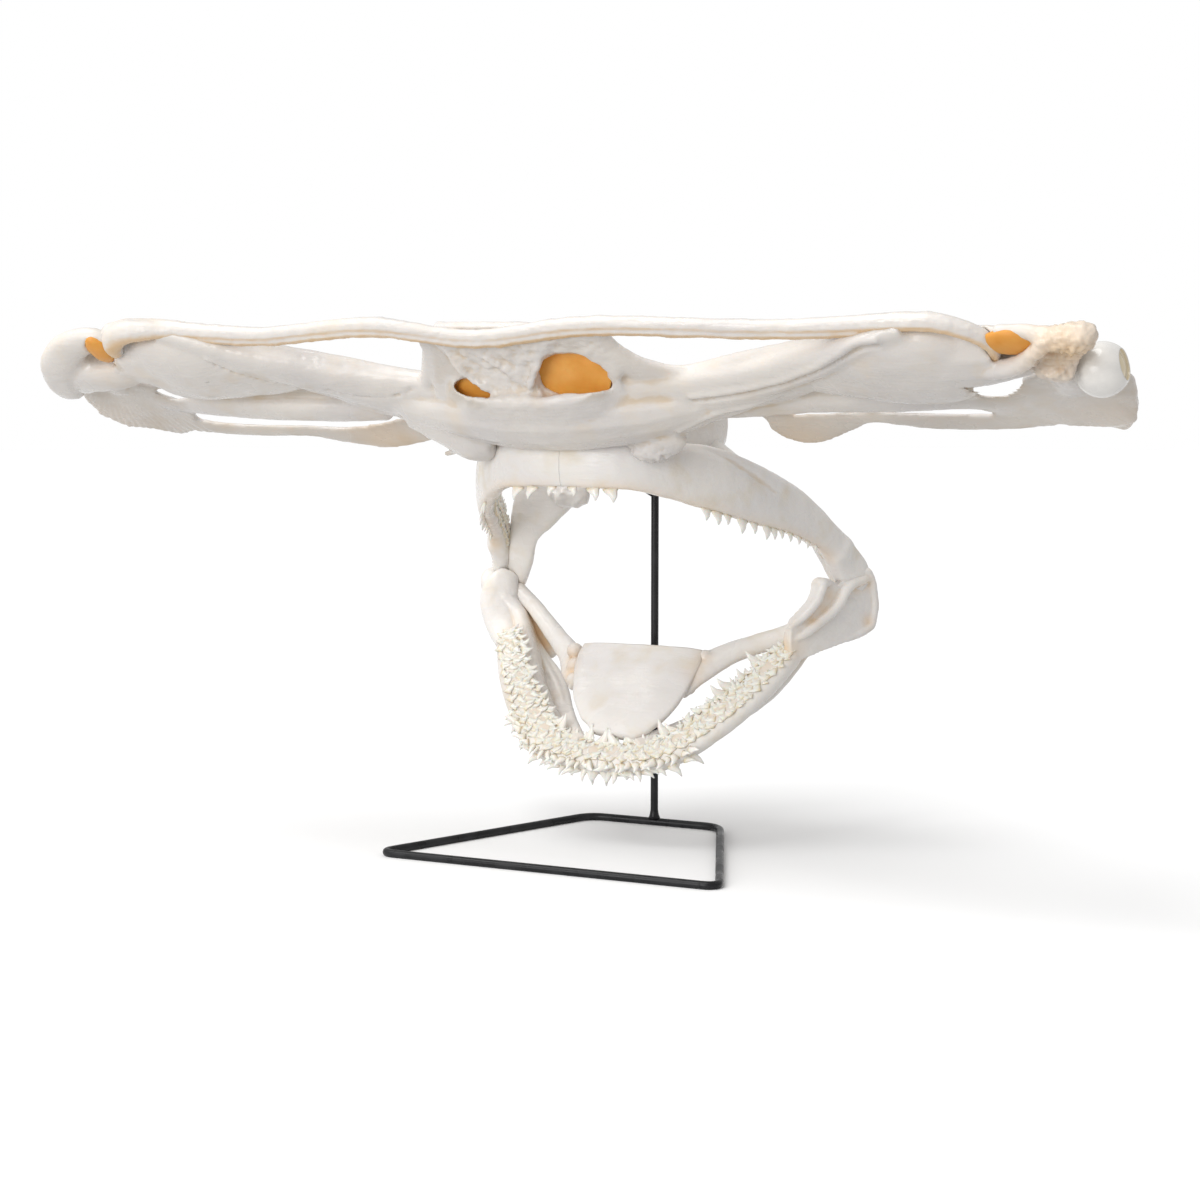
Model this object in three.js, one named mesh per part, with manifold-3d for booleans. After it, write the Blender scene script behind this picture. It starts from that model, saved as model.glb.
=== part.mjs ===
// Hammerhead shark skull with open jaws on a bent-rod display stand, at life size.
// Millimetres, +Z up, the snout towards -Y and the animal's left towards +X.
import * as THREE from "three";
import Module from "manifold-3d";

const wasm = await Module();
wasm.setup();
const { degToRad } = THREE.MathUtils;

// Driving sizes
const GAP = 0.3; // clearance between pieces that touch
const HAMMER_TILT = degToRad(32); // the hammer's plane rises towards the snout
const HAMMER_PIVOT = { ahead: 80, fore: 167.8, up: 292.4 }; // middle of the hammer's depth on the midline
const TWIST_SPAN = 300; // distance out at which a wing has its full twist
const WING_ROOT = 76; // where each wing leaves the braincase
const ETHMOID_HALF = 132; // the ethmoid floor thins out into the wings
const FAR = 600; // beyond everything
const LIP_START = 4; // stations of the bar, from either end, that have no lip behind them
const JAW_SHIFT = 2; // the jaws hang a little to the animal's left
const EYE_RADIUS = 14.8;
const EYE_AHEAD = 84; // place of the eye in the depth of the hammer
const PUPIL_RADIUS = 8.4;
const FRONT_WALL = { rake: degToRad(38.5), fore: 180, up: 291 }; // middle of the wall under the bar
const WALL_WINDOWS = [
  { out: 30, up: 0.5, wide: 22.5, tall: 14.8, turn: degToRad(4), deep: 8 },
  { out: -38, up: -10, wide: 13.5, tall: 7.4, turn: degToRad(18), deep: 20 },
];
const ROD_RADIUS = 2.5; // black steel rod
const ROD_TOP = 240; // the rod ends in a socket in the floor of the braincase
const BASE_BACK_HALF = 46.7; // half the back edge of the stand's loop
const BASE_FRONT_HALF = 113;
const BASE_DEPTH = 162;
const BASE_BEND = 12; // how far from a corner the loop starts to bend

// The two sides of the specimen, which has dried a little askew.
const SIDES = [
  {
    name: "left",
    way: 1,
    twist: degToRad(4.5),
    eyeOut: 329,
    plateOut: 329,
    slit: { from: 252, to: 284, ahead: 60.5, rise: 12 },
    hyoidLift: 8,
  },
  {
    name: "right",
    way: -1,
    twist: degToRad(1),
    eyeOut: 320,
    plateOut: 339,
    slit: { from: 261, to: 282, ahead: 56, rise: 4 },
    hyoidLift: 0,
  },
];

const UP = new THREE.Vector3(0, 0, 1);
const AHEAD = new THREE.Vector3(0, -1, 0);
const HAMMER_NORMAL = new THREE.Vector3(0, Math.sin(HAMMER_TILT), Math.cos(HAMMER_TILT));
const SLIT_DEPTH = 36; // half the length of the tunnel that opens each slit
const SLIT_RUN = new THREE.Vector3(0, -1, 0.1); // the slit in each wing runs through from front to back
const ETHMOID_NORMAL = new THREE.Vector3(0, 0.3, 0.95);
const JAW_NORMAL = new THREE.Vector3(0, -0.5, 0.86); // square to the open lower jaw
const HYOID_NORMAL = new THREE.Vector3(0, -0.7, 0.7); // square to the tongue plate

// Teeth: triangular blades that lean back above, slender spikes below with a row of new ones behind them
const TOOTH_ROOT = 4;
const BLADE_TOOTH = { width: 8, shoulder: 0.66, height: 7.5, lean: 0.4 };
const SPIKE_TOOTH = { width: 5, shoulder: 0.55, height: 6.5, lean: 0.1 };
const NEW_TOOTH = { width: 4.4, shoulder: 0.55, height: 5, lean: 0.1 };
const UPPER_ROW = { ...BLADE_TOOTH, count: 13, from: 0.11, to: 0.74, out: 0.15, up: -0.8, splay: 0.1 };
const LOWER_ROWS = [
  { ...SPIKE_TOOTH, count: 12, from: 0.15, to: 0.94, out: 0.62, up: 0.5, splay: 0.3 },
  { ...NEW_TOOTH, count: 9, from: 0.19, to: 0.9, out: 0, up: 0.78, splay: 0.1 },
];

// Repeatable draws between 0 and 1
let seed = 11;
function random() {
  seed = (seed * 16807) % 2147483647;
  return seed / 2147483647;
}

// Finishes
function finish(name, color, roughness, metalness = 0) {
  return new THREE.MeshStandardMaterial({ name, color, roughness, metalness });
}
const cartilage = () => finish("cartilage", 0xebe5dd, 0.55);
const jawCartilage = () => finish("jaw_cartilage", 0xece3d4, 0.5);
const sclera = () => finish("sclera", 0xf0eadd, 0.4);
const blackSteel = () => finish("black_steel", 0x121212, 0.45, 0.6);

// A point from its distance out to the side, ahead of the rod and above the stand.
function point(out, fore, up) {
  return new THREE.Vector3(out, -fore, up);
}

// A point on the hammer: out to the side, ahead in the hammer's plane, and above that plane.
function onHammer(out, ahead, above = 0) {
  const side = SIDES.find((s) => s.way * out >= 0);
  const tilt = HAMMER_TILT - side.twist * Math.min(Math.abs(out) / TWIST_SPAN, 1);
  const reach = ahead - HAMMER_PIVOT.ahead;
  const fore = HAMMER_PIVOT.fore + reach * Math.cos(tilt) - above * Math.sin(tilt);
  const up = HAMMER_PIVOT.up + reach * Math.sin(tilt) + above * Math.cos(tilt);
  return point(out, fore, up);
}

// The two directions of a section that is square to the path.
function sectionAxes(tangent, lift) {
  const across = new THREE.Vector3().crossVectors(lift, tangent).normalize();
  return { across, along: new THREE.Vector3().crossVectors(tangent, across) };
}

// A smooth path through stations [place, half width, half height], with the section at any share of it.
function spine(stations, lift, grow = 0) {
  const path = new THREE.CatmullRomCurve3(stations.map(([at]) => at), false, "centripetal");
  const sizes = new THREE.CatmullRomCurve3(
    stations.map(([, wide, tall]) => new THREE.Vector3(wide + grow, tall + grow, 0)),
    false,
    "catmullrom",
  );
  const sectionAt = (share) => {
    const { x: wide, y: tall } = sizes.getPoint(share);
    const tangent = path.getTangent(share);
    return { centre: path.getPoint(share), tangent, wide, tall, ...sectionAxes(tangent, lift) };
  };
  return { path, sectionAt };
}

// A closed body along such a path.
function loft(stations, { sides = 8, steps = 12, lift = UP, power = 2, grow = 0 } = {}) {
  const { sectionAt } = spine(stations, lift, grow);
  const rings = Array.from({ length: steps + 1 }, (_, i) => sectionAt(i / steps));
  rings.unshift(roundedEnd(rings[0], -1));
  rings.push(roundedEnd(rings[rings.length - 1], 1));
  return solid(skin(rings, sides, power));
}

// A smaller ring past the end of a loft, so that the end is rounded.
function roundedEnd(end, direction) {
  const reach = Math.min(end.wide, end.tall) * 0.6;
  const centre = end.centre.clone().addScaledVector(end.tangent, direction * reach);
  return { ...end, centre, wide: end.wide - reach * 0.75, tall: end.tall - reach * 0.75 };
}

// The closed surface over a row of rings, each a superellipse. A loop of rings needs no caps.
function skin(rings, sides, power = 2, isLoop = false) {
  const positions = [];
  const triangles = [];
  const bulge = (x) => Math.sign(x) * Math.abs(x) ** (2 / power);
  for (const ring of rings) {
    for (let j = 0; j < sides; j += 1) {
      const angle = ((j + 0.5) / sides) * 2 * Math.PI;
      const p = ring.centre.clone();
      p.addScaledVector(ring.across, ring.wide * bulge(Math.cos(angle)));
      p.addScaledVector(ring.along, ring.tall * bulge(Math.sin(angle)));
      positions.push(p.x, p.y, p.z);
    }
  }
  const last = (rings.length - 1) * sides;
  for (let i = 0; i < (isLoop ? rings.length : rings.length - 1); i += 1) {
    const [here, next] = [i * sides, ((i + 1) % rings.length) * sides];
    for (let j = 0; j < sides; j += 1) {
      const k = (j + 1) % sides;
      triangles.push(here + j, here + k, next + k, here + j, next + k, next + j);
    }
  }
  for (let j = 1; j < (isLoop ? 0 : sides - 1); j += 1) {
    triangles.push(0, j + 1, j, last, last + j, last + j + 1);
  }
  return { positions, triangles };
}

// A closed surface as a solid that can be joined and cut.
function solid({ positions, triangles }) {
  const vertProperties = new Float32Array(positions);
  const triVerts = new Uint32Array(triangles);
  return new wasm.Manifold(new wasm.Mesh({ numProp: 3, vertProperties, triVerts }));
}

// The closed surface of a geometry, with its shared corners merged and slivers dropped.
function shell(geometry) {
  const place = geometry.attributes.position;
  const seen = new Map();
  const positions = [];
  const corners = Array.from(geometry.index.array, (v) => {
    const p = [place.getX(v), place.getY(v), place.getZ(v)].map((x) => Math.round(x * 1e4) / 1e4 + 0);
    if (!seen.has(p.join())) {
      seen.set(p.join(), seen.size);
      positions.push(...p);
    }
    return seen.get(p.join());
  });
  const triangles = [];
  for (let i = 0; i < corners.length; i += 3) {
    const face = corners.slice(i, i + 3);
    if (new Set(face).size === 3) triangles.push(...face);
  }
  return { positions, triangles };
}

function join(pieces) {
  return pieces.reduce((whole, piece) => whole.add(piece));
}

// An egg with three half sizes.
function egg(centre, halfSizes, segments = 12) {
  const geometry = new THREE.SphereGeometry(1, segments, segments / 2).scale(...halfSizes);
  return solid(shell(geometry.translate(...centre.toArray())));
}

// Everything between two planes square to X.
function slab(from, to) {
  const geometry = new THREE.BoxGeometry(to - from, 2 * FAR, 2 * FAR);
  return solid(shell(geometry.translate((from + to) / 2, 0, 0)));
}

// Everything further out than a given distance on one side.
function beyond(side, out) {
  return side.way > 0 ? slab(out, FAR) : slab(-FAR, -out);
}

// A named mesh from the largest body of a solid.
function meshOf(name, whole, material) {
  const body = whole.decompose().reduce((a, b) => (a.volume() > b.volume() ? a : b));
  const { vertProperties, triVerts } = body.getMesh();
  const geometry = new THREE.BufferGeometry();
  geometry.setAttribute("position", new THREE.BufferAttribute(new Float32Array(vertProperties), 3));
  geometry.setIndex(new THREE.BufferAttribute(new Uint32Array(triVerts), 1));
  geometry.computeVertexNormals();
  const mesh = new THREE.Mesh(geometry, material);
  mesh.name = name;
  return mesh;
}

// Rostral bar: the front rim of the hammer, hooked round the nostril at each end, with a thin lip behind it.
function rostralBar(grow = 0) {
  const rim = [
    { out: -274, ahead: 104, above: -6, radius: 5 },
    { out: -281, ahead: 115, above: -2, radius: 6.5 },
    { out: -271, ahead: 127, above: 0.5, radius: 6.8 },
    { out: -245, ahead: 132, above: 0.5, radius: 6.5 },
    { out: -205, ahead: 129, above: -0.5, radius: 5.2 },
    { out: -160, ahead: 127, above: -2, radius: 4.6 },
    { out: -110, ahead: 130, above: 1, radius: 4.6 },
    { out: -80, ahead: 131, above: 1, radius: 5 },
    { out: -58, ahead: 129, above: -1, radius: 4.4 },
    { out: -30, ahead: 127, above: -4, radius: 4 },
    { out: -5, ahead: 126, above: -3.5, radius: 4 },
    { out: 25, ahead: 127, above: 1, radius: 4.6 },
    { out: 60, ahead: 130, above: 2, radius: 4.6 },
    { out: 110, ahead: 130, above: 1, radius: 4.2 },
    { out: 160, ahead: 128, above: 1, radius: 4.2 },
    { out: 210, ahead: 131, above: 1, radius: 5 },
    { out: 248, ahead: 134, above: 1, radius: 5.4 },
    { out: 268, ahead: 128, above: -1, radius: 5.2 },
    { out: 279, ahead: 117, above: -3, radius: 4.6 },
    { out: 278, ahead: 106, above: -5, radius: 3.2 },
  ];
  const bar = rim.map((s) => [onHammer(s.out, s.ahead, s.above), s.radius, s.radius]);
  const lip = rim.slice(LIP_START, -LIP_START).map((s) => [onHammer(s.out, s.ahead - 3, s.above - 3), 4, 3]);
  const options = { lift: HAMMER_NORMAL, grow };
  return join([loft(bar, { ...options, steps: 38 }), loft(lip, { ...options, sides: 5, steps: 20 })]);
}

// Wing: beam, thin web, trailing strut, nasal capsule, and the block and plate that hold the eye.
function wing(side, grow = 0) {
  const at = (out, ahead, above) => onHammer(side.way * out, ahead, above);
  const options = { lift: HAMMER_NORMAL, grow };
  const beam = [
    [at(40, 54, -4), 28, 11], [at(84, 55, -1), 27, 10], [at(113, 66, 0), 25, 8.5], [at(140, 77, 0), 25, 8],
    [at(165, 89, 0), 22, 7.5], [at(190, 102, 0), 17, 7], [at(225, 120, 0), 9, 5.5],
  ];
  const web = [
    [at(40, 52, 0), 20, 6], [at(80, 54, 4), 16, 3.5], [at(120, 62, 4), 20, 3], [at(160, 73, 4), 28, 3],
    [at(200, 82, 3), 36, 3.5], [at(240, 86, 2), 38, 4], [at(270, 94, 0), 26, 4],
  ];
  const trailing = [
    [at(40, 44, -8), 14, 10], [at(85, 43, -1), 10, 7], [at(125, 43, 0), 8, 5.5], [at(170, 45, 1), 7, 5],
    [at(220, 46, 2), 7, 4.5], [at(255, 45, 2), 8, 4], [at(280, 42, 2), 13, 3.5],
  ];
  const capsule = [
    [at(180, 92, 1), 14, 5], [at(205, 95, -1), 23, 10], [at(240, 97, -2), 26, 13],
    [at(270, 100, -2), 20, 12], [at(293, 102, -1), 15, 9],
  ];
  const plate = [
    [at(255, 44, 2), 8, 3.5], [at(285, 41, 2), 17, 3.5],
    [at(side.plateOut - 18, 42, 1), 24, 3.2], [at(side.plateOut, 48, 1), 24, 2.8],
  ];
  const block = [
    [at(288, 104, 0), 14, 8], [at(304, 104, 0), 17, 9], [at(side.eyeOut - 6, 100, 1), 14, 8],
  ];
  const buttress = [[at(306, 92, 0), 9, 8], [at(308, 76, 1), 9, 6], [at(310, 58, 1), 10, 4]];
  const brow = [
    [at(266, 122, 1), 5, 5], [at(290, 120, 1), 4.5, 4.5],
    [at(side.eyeOut - 16, 116, 1), 6, 5], [at(side.eyeOut - 3, 106, 2), 6, 5],
  ];
  return join([
    loft(beam, { ...options, sides: 10, steps: 9 }),
    loft(web, { ...options, steps: 9, power: 2.5 }),
    loft(trailing, { ...options, steps: 9 }),
    loft(capsule, { ...options, sides: 10, steps: 8 }),
    loft(plate, { ...options, steps: 6, power: 3 }),
    loft(block, { ...options, steps: 4 }),
    loft(buttress, { ...options, steps: 3 }),
    loft(brow, { ...options, steps: 6 }),
  ]);
}

// Window: the slit through the wing between the nasal capsule and the plate.
function wingWindow({ way, slit }) {
  const stations = [0, 0.3, 0.55, 0.8, 1].map((share) => {
    const out = slit.from + share * (slit.to - slit.from);
    const halfHeight = 0.8 + 2.2 * Math.sin(Math.PI * share);
    return [onHammer(way * out, slit.ahead + slit.rise * share ** 3), halfHeight, SLIT_DEPTH];
  });
  return loft(stations, { steps: 6, lift: SLIT_RUN });
}

// Nostril: the pocket in the front of the nasal capsule, between the bar's hook and the eye.
function nostril(side) {
  return egg(onHammer(side.way * 290, 110, -7), [12, 9, 12]);
}

// Ethmoid floor and braincase.
function neurocranium(grow = 0) {
  const ethmoid = [-1, -0.75, -0.5, -0.25, 0, 0.25, 0.5, 0.75, 1].map((share) => {
    const place = point(share * ETHMOID_HALF, 150 - 7 * share ** 2, 264 + 18 * share ** 2);
    return [place, 27 - 19 * share ** 2, 16 - 13 * share ** 2];
  });
  const box = [
    [point(0, 170, 286), 58, 25], [point(0, 140, 283), 55, 30], [point(0, 100, 275), 42, 31],
    [point(0, 60, 268), 36, 30], [point(0, 20, 262), 45, 30], [point(0, -10, 259), 46, 29],
    [point(0, -34, 256), 30, 22],
  ];
  const grown = (halfSizes) => halfSizes.map((size) => size + grow);
  const lobes = SIDES.map(({ way }) => egg(onHammer(way * 58, 27, -21), grown([14, 11, 7]), 10));
  const condyles = SIDES.map(({ way }) => egg(point(way * 15, -36, 244), grown([8, 7, 7]), 8));
  const flanges = SIDES.map(({ way }) => {
    const blade = [
      [point(way * 60, 112, 262), 8, 5],
      [point(way * 78, 113, 258), 9, 3],
      [point(way * 90, 114, 255), 9, 2.5],
    ];
    return loft(blade, { steps: 4, lift: AHEAD, grow });
  });
  return join([
    loft(ethmoid, { sides: 12, steps: 16, lift: ETHMOID_NORMAL, grow }),
    loft(box, { sides: 12, steps: 9, power: 2.6, grow }),
    ...lobes,
    ...condyles,
    ...flanges,
  ]);
}

// Foramen magnum: the pit for the spinal cord in the back of the braincase.
function foramen() {
  return egg(point(0, -42, 258), [9, 14, 9], 10);
}

// Brain cavity, open to the front under the bar.
function cavity(grow = 0) {
  const hollow = [
    [point(0, 192, 293), 52, 13], [point(0, 165, 291), 48, 14.5], [point(0, 130, 287), 42, 17],
    [point(0, 92, 281), 31, 17],
  ];
  return loft(hollow, { sides: 12, steps: 7, grow });
}

// A place on the front wall: out to the side, up the wall from its middle, and in front of it.
function onWall(out, rise, front = 0) {
  const { rake, fore, up } = FRONT_WALL;
  const forward = rise * Math.sin(rake) + front * Math.cos(rake);
  return point(out, fore + forward, up + rise * Math.cos(rake) - front * Math.sin(rake));
}

// Front wall of the braincase, from the ethmoid up to the bar, with a torn flap that hangs over it.
function frontWall() {
  const sheet = [
    [onWall(-4, 37, 4), 60, 3], [onWall(-4, 27, 1), 60, 3], [onWall(-4, 12), 61, 3],
    [onWall(-3, -3), 63, 3.2], [onWall(-2, -20, -1), 60, 6],
  ];
  const flap = [
    [onWall(-12, 36, 5), 44, 2.6], [onWall(-14, 13, 3.5), 31, 2.2],
    [onWall(-15, 2, 4), 24, 2.2], [onWall(-11, -8, 5), 18, 2.4], [onWall(-6, -15, 6), 13, 3],
  ];
  const lift = onWall(0, 0, 1).sub(onWall(0, 0));
  return join([
    loft(sheet, { sides: 12, steps: 7, lift, power: 3 }),
    loft(flap, { steps: 6, lift, power: 3 }),
  ]);
}

// Windows: the two openings in the front wall, which lead into the brain cavity.
function wallWindows() {
  const rise = onWall(0, 1).sub(onWall(0, 0));
  return join(WALL_WINDOWS.map(({ out, up, wide, tall, turn, deep }) => {
    const lift = rise.clone().applyAxisAngle(new THREE.Vector3(0, 1, 0), turn);
    const plug = [18, 5, -deep].map((front) => [onWall(out, up, front), wide, tall]);
    return loft(plug, { sides: 14, steps: 2, lift });
  }));
}

// Postorbital process: the long rear strut from the braincase to the plate behind the eye.
function postorbital(side, grow = 0) {
  const at = (out, ahead, above) => onHammer(side.way * out, ahead, above);
  const strut = [
    [point(side.way * 34, 72, 284), 15, 9], [point(side.way * 72, 82, 281), 12, 6], [at(106, 5, 20), 12, 4],
    [at(140, 9, 3), 14, 3.2], [at(180, 14, 2), 8.5, 3.4], [at(230, 19, 2), 6.5, 3.4],
    [at(268, 24, 2), 7, 3.2], [at(290, 28, 1), 8, 3],
  ];
  return loft(strut, { steps: 18, lift: HAMMER_NORMAL, grow });
}

// Eye: the ball of the sclera with the pupil cut into its outer side.
function eyeBall(side, grow = 0) {
  return egg(onHammer(side.way * side.eyeOut, EYE_AHEAD), Array(3).fill(EYE_RADIUS + grow), 14);
}

function eye(side) {
  const look = new THREE.Vector3(side.way * 0.93, 0.1, 0.36).normalize();
  const rim = onHammer(side.way * side.eyeOut, EYE_AHEAD).addScaledVector(look, EYE_RADIUS);
  const pupil = new THREE.CylinderGeometry(PUPIL_RADIUS, PUPIL_RADIUS * 0.8, EYE_RADIUS, 12);
  pupil.applyQuaternion(new THREE.Quaternion().setFromUnitVectors(new THREE.Vector3(0, 1, 0), look));
  return eyeBall(side).subtract(solid(shell(pupil.translate(...rim.toArray()))));
}

// Upper jaw: a deep blade that bends from the symphysis back and down to the joint.
function upperBlade({ way }) {
  const arch = [
    { out: -12, fore: 138, low: 226, high: 252, wide: 6 },
    { out: 25, fore: 136, low: 225, high: 253, wide: 6 },
    { out: 47, fore: 126, low: 223, high: 252, wide: 6.5 },
    { out: 72, fore: 97, low: 213, high: 250, wide: 6.5 },
    { out: 92, fore: 63, low: 202, high: 237, wide: 6.5 },
    { out: 106, fore: 30, low: 193, high: 221, wide: 6.5 },
    { out: 117, fore: 0, low: 179, high: 199, wide: 7 },
    { out: 125, fore: -20, low: 154, high: 182, wide: 7.5 },
  ];
  return arch.map((s) => {
    const middle = point(JAW_SHIFT + way * s.out, s.fore, (s.low + s.high) / 2);
    return [middle, s.wide, (s.high - s.low) / 2];
  });
}

function upperJaw(side, grow = 0) {
  return loft(upperBlade(side), { steps: 16, grow });
}

// Lower jaw: a broad tooth band with a blade behind it, from the flared plate at the joint to the symphysis.
const LOWER_ARCH = [
  { out: -12, fore: 83, up: 52, band: 10 },
  { out: 35, fore: 76, up: 58, band: 12 },
  { out: 60, fore: 60, up: 74, band: 13 },
  { out: 80, fore: 42, up: 93, band: 12 },
  { out: 97, fore: 21, up: 115, band: 9 },
  { out: 112, fore: 3, up: 132, band: 6 },
];

function lowerBand({ way }) {
  return LOWER_ARCH.slice(0, -1).map((s) => [point(way * s.out, s.fore, s.up), s.band, 7.5]);
}

function lowerJaw(side, grow = 0) {
  const { way } = side;
  const blade = [
    ...LOWER_ARCH.map((s) => [point(way * (s.out - 8), s.fore - 12, s.up - 4), 6, 12]),
    [point(way * 128, -18, 146), 9, 24],
    [point(way * 135, -29, 150), 8, 22],
  ];
  return join([
    loft(lowerBand(side), { steps: 12, lift: JAW_NORMAL, grow }),
    loft(blade, { steps: 16, lift: HYOID_NORMAL, grow }),
  ]);
}

// One tooth: a root sunk in the jaw and a crown that narrows to a point, which leans along the row.
function tooth(foot, rise, rowward, { width, shoulder, height, lean }) {
  const across = rowward.clone().addScaledVector(rise, -rowward.dot(rise)).normalize();
  const frame = { tangent: rise, across, along: new THREE.Vector3().crossVectors(rise, across) };
  const rings = [[-TOOTH_ROOT, 1], [0.3 * height, shoulder], [height, 0.1]].map(([level, narrow]) => {
    const centre = foot.clone().addScaledVector(rise, level);
    centre.addScaledVector(across, lean * Math.max(level, 0));
    return { ...frame, centre, wide: (width / 2) * narrow, tall: (width / 4) * narrow };
  });
  return solid(skin(rings, 5));
}

// A row of teeth along a jaw. Each stands on the section there, at a share of its half width and half height.
function toothRow(side, stations, lift, row) {
  const { path, sectionAt } = spine(stations, lift);
  return Array.from({ length: row.count }, (_, i) => {
    const reach = row.from + ((row.to - row.from) * i) / (row.count - 1);
    const section = sectionAt(path.getUtoTmapping(reach));
    const foot = section.centre.clone();
    foot.addScaledVector(section.across, side.way * row.out * section.wide);
    foot.addScaledVector(section.along, row.up * section.tall);
    const rise = section.along.clone().multiplyScalar(Math.sign(row.up));
    rise.addScaledVector(section.across, side.way * row.splay).normalize();
    const size = 1 - 0.3 * reach + 0.16 * (random() - 0.5);
    return tooth(foot, rise, section.tangent, { ...row, width: row.width * size, height: row.height * size });
  });
}

// Tongue plate of the hyoid arch.
function basihyal(grow = 0) {
  const plate = [
    [point(4, 26, 116), 43, 4], [point(3, 42, 100), 40, 5],
    [point(2, 62, 80), 30, 5], [point(1, 74, 68), 17, 4],
  ];
  return loft(plate, { sides: 10, steps: 8, lift: HYOID_NORMAL, power: 2.4, grow });
}

// Ceratohyal: the bar from the tongue plate up to the jaw joint.
function ceratohyal({ way }, grow = 0) {
  const bar = [
    [point(way * 40, 30, 106), 13, 5], [point(way * 68, 16, 120), 9, 5.5],
    [point(way * 92, 3, 133), 8, 5.5], [point(way * 112, -17, 150), 8, 6],
  ];
  return loft(bar, { steps: 8, lift: HYOID_NORMAL, grow });
}

// Hyomandibula: the broad strut from the side of the braincase down to the jaw joint.
function hyomandibula({ way, hyoidLift }, grow = 0) {
  const strut = [
    [point(way * 36, 8, 236), 16, 8], [point(way * 66, 2, 213), 11, 5],
    [point(way * 94, -10, 194 + hyoidLift), 8, 5], [point(way * 119, -25, 154), 8, 6],
  ];
  const head = egg(point(way * 46, 14, 218), [15 + grow, 8 + grow, 11 + grow], 8);
  return loft(strut, { steps: 8, lift: AHEAD, grow }).add(head);
}

// Base of the stand: one loop of rod, wide at the front.
function baseLoop(grow = 0) {
  const corners = [
    point(-BASE_BACK_HALF, 0, 0),
    point(BASE_BACK_HALF, 0, 0),
    point(BASE_FRONT_HALF, BASE_DEPTH, 0),
    point(-BASE_FRONT_HALF, BASE_DEPTH, 0),
  ];
  const radius = ROD_RADIUS + grow;
  const bendSteps = 5;
  const rings = corners.flatMap((corner, i) => {
    const towards = (other) => {
      const edge = other.clone().sub(corner).normalize();
      return corner.clone().addScaledVector(edge, BASE_BEND);
    };
    const [before, after] = [corners[(i + 3) % 4], corners[(i + 1) % 4]];
    const bend = new THREE.QuadraticBezierCurve3(towards(before), corner, towards(after));
    return Array.from({ length: bendSteps + 1 }, (_, k) => {
      const tangent = bend.getTangent(k / bendSteps);
      const centre = bend.getPoint(k / bendSteps);
      return { centre, tangent, wide: radius, tall: radius, ...sectionAxes(tangent, UP) };
    });
  });
  return solid(skin(rings, 8, 2, true));
}

// Upright of the stand, flared where it is welded to the loop, with a short tine under the braincase.
function upright(grow = 0) {
  const rod = [
    [point(0, 0, 2), 4.2, 4.2], [point(0, 0, 5), 3.2, 3.2], [point(0, 0, 12), ROD_RADIUS, ROD_RADIUS],
    [point(0, 0, 120), ROD_RADIUS, ROD_RADIUS], [point(0, 0, ROD_TOP), ROD_RADIUS, ROD_RADIUS],
  ];
  const tine = [[point(0, 0, 216), 2, 2], [point(-8, 12, 222), 2, 2], [point(-14, 22, 232), 2, 2]];
  const options = { lift: AHEAD, grow };
  return join([loft(rod, { ...options, sides: 10, steps: 8 }), loft(tine, { ...options, steps: 4 })]);
}

// The whole model, part by part, each cut clear of the ones before it
const skull = new THREE.Group();
const rod = upright(GAP);
const bar = rostralBar(GAP);
const grownCore = neurocranium(GAP);
const closed = join([neurocranium(), ...SIDES.map((side) => wing(side))]);
const cranium = closed.subtract(cavity()).subtract(foramen()).subtract(bar);
const grownShell = join([grownCore, ...SIDES.map((side) => wing(side, GAP))]).subtract(cavity(-GAP));
const wall = frontWall().subtract(wallWindows()).subtract(bar).subtract(grownShell);
const middle = slab(-WING_ROOT + GAP / 2, WING_ROOT - GAP / 2);
skull.add(meshOf("braincase", cranium.intersect(middle).subtract(rod), cartilage()));
skull.add(meshOf("front_wall", wall, cartilage()));
skull.add(meshOf("rostral_bar", rostralBar(), cartilage()));
for (const side of SIDES) {
  const rear = postorbital(side, GAP);
  const wingRoot = beyond(side, WING_ROOT + GAP / 2);
  const holes = [eyeBall(side, GAP), nostril(side), wingWindow(side), rear];
  const wingBody = holes.reduce((body, hole) => body.subtract(hole), cranium.intersect(wingRoot));
  const upper = upperJaw(side).subtract(grownCore).intersect(beyond(side, GAP / 2));
  const lower = lowerJaw(side).subtract(upperJaw(side, GAP)).intersect(beyond(side, GAP / 2));
  const upperTeeth = toothRow(side, upperBlade(side), UP, UPPER_ROW);
  const lowerTeeth = LOWER_ROWS.flatMap((row) => toothRow(side, lowerBand(side), JAW_NORMAL, row));
  const jaws = upperJaw(side, GAP).add(lowerJaw(side, GAP));
  const strut = hyomandibula(side).subtract(grownCore).subtract(jaws);
  const horn = ceratohyal(side).subtract(jaws).subtract(hyomandibula(side, GAP));
  skull.add(meshOf(`wing_${side.name}`, wingBody, cartilage()));
  skull.add(meshOf(`postorbital_${side.name}`, postorbital(side).subtract(grownCore), cartilage()));
  skull.add(meshOf(`eye_${side.name}`, eye(side), sclera()));
  skull.add(meshOf(`upper_jaw_${side.name}`, join([upper, ...upperTeeth]), jawCartilage()));
  skull.add(meshOf(`lower_jaw_${side.name}`, join([lower, ...lowerTeeth]), jawCartilage()));
  skull.add(meshOf(`hyomandibula_${side.name}`, strut, jawCartilage()));
  skull.add(meshOf(`ceratohyal_${side.name}`, horn.subtract(basihyal(GAP)), jawCartilage()));
}
skull.add(meshOf("basihyal", basihyal(), jawCartilage()));

const stand = new THREE.Group();
stand.add(meshOf("stand_base", baseLoop(), blackSteel()));
stand.add(meshOf("stand_rod", upright().subtract(baseLoop(GAP)), blackSteel()));

const part = new THREE.Group();
part.add(skull, stand);

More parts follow.
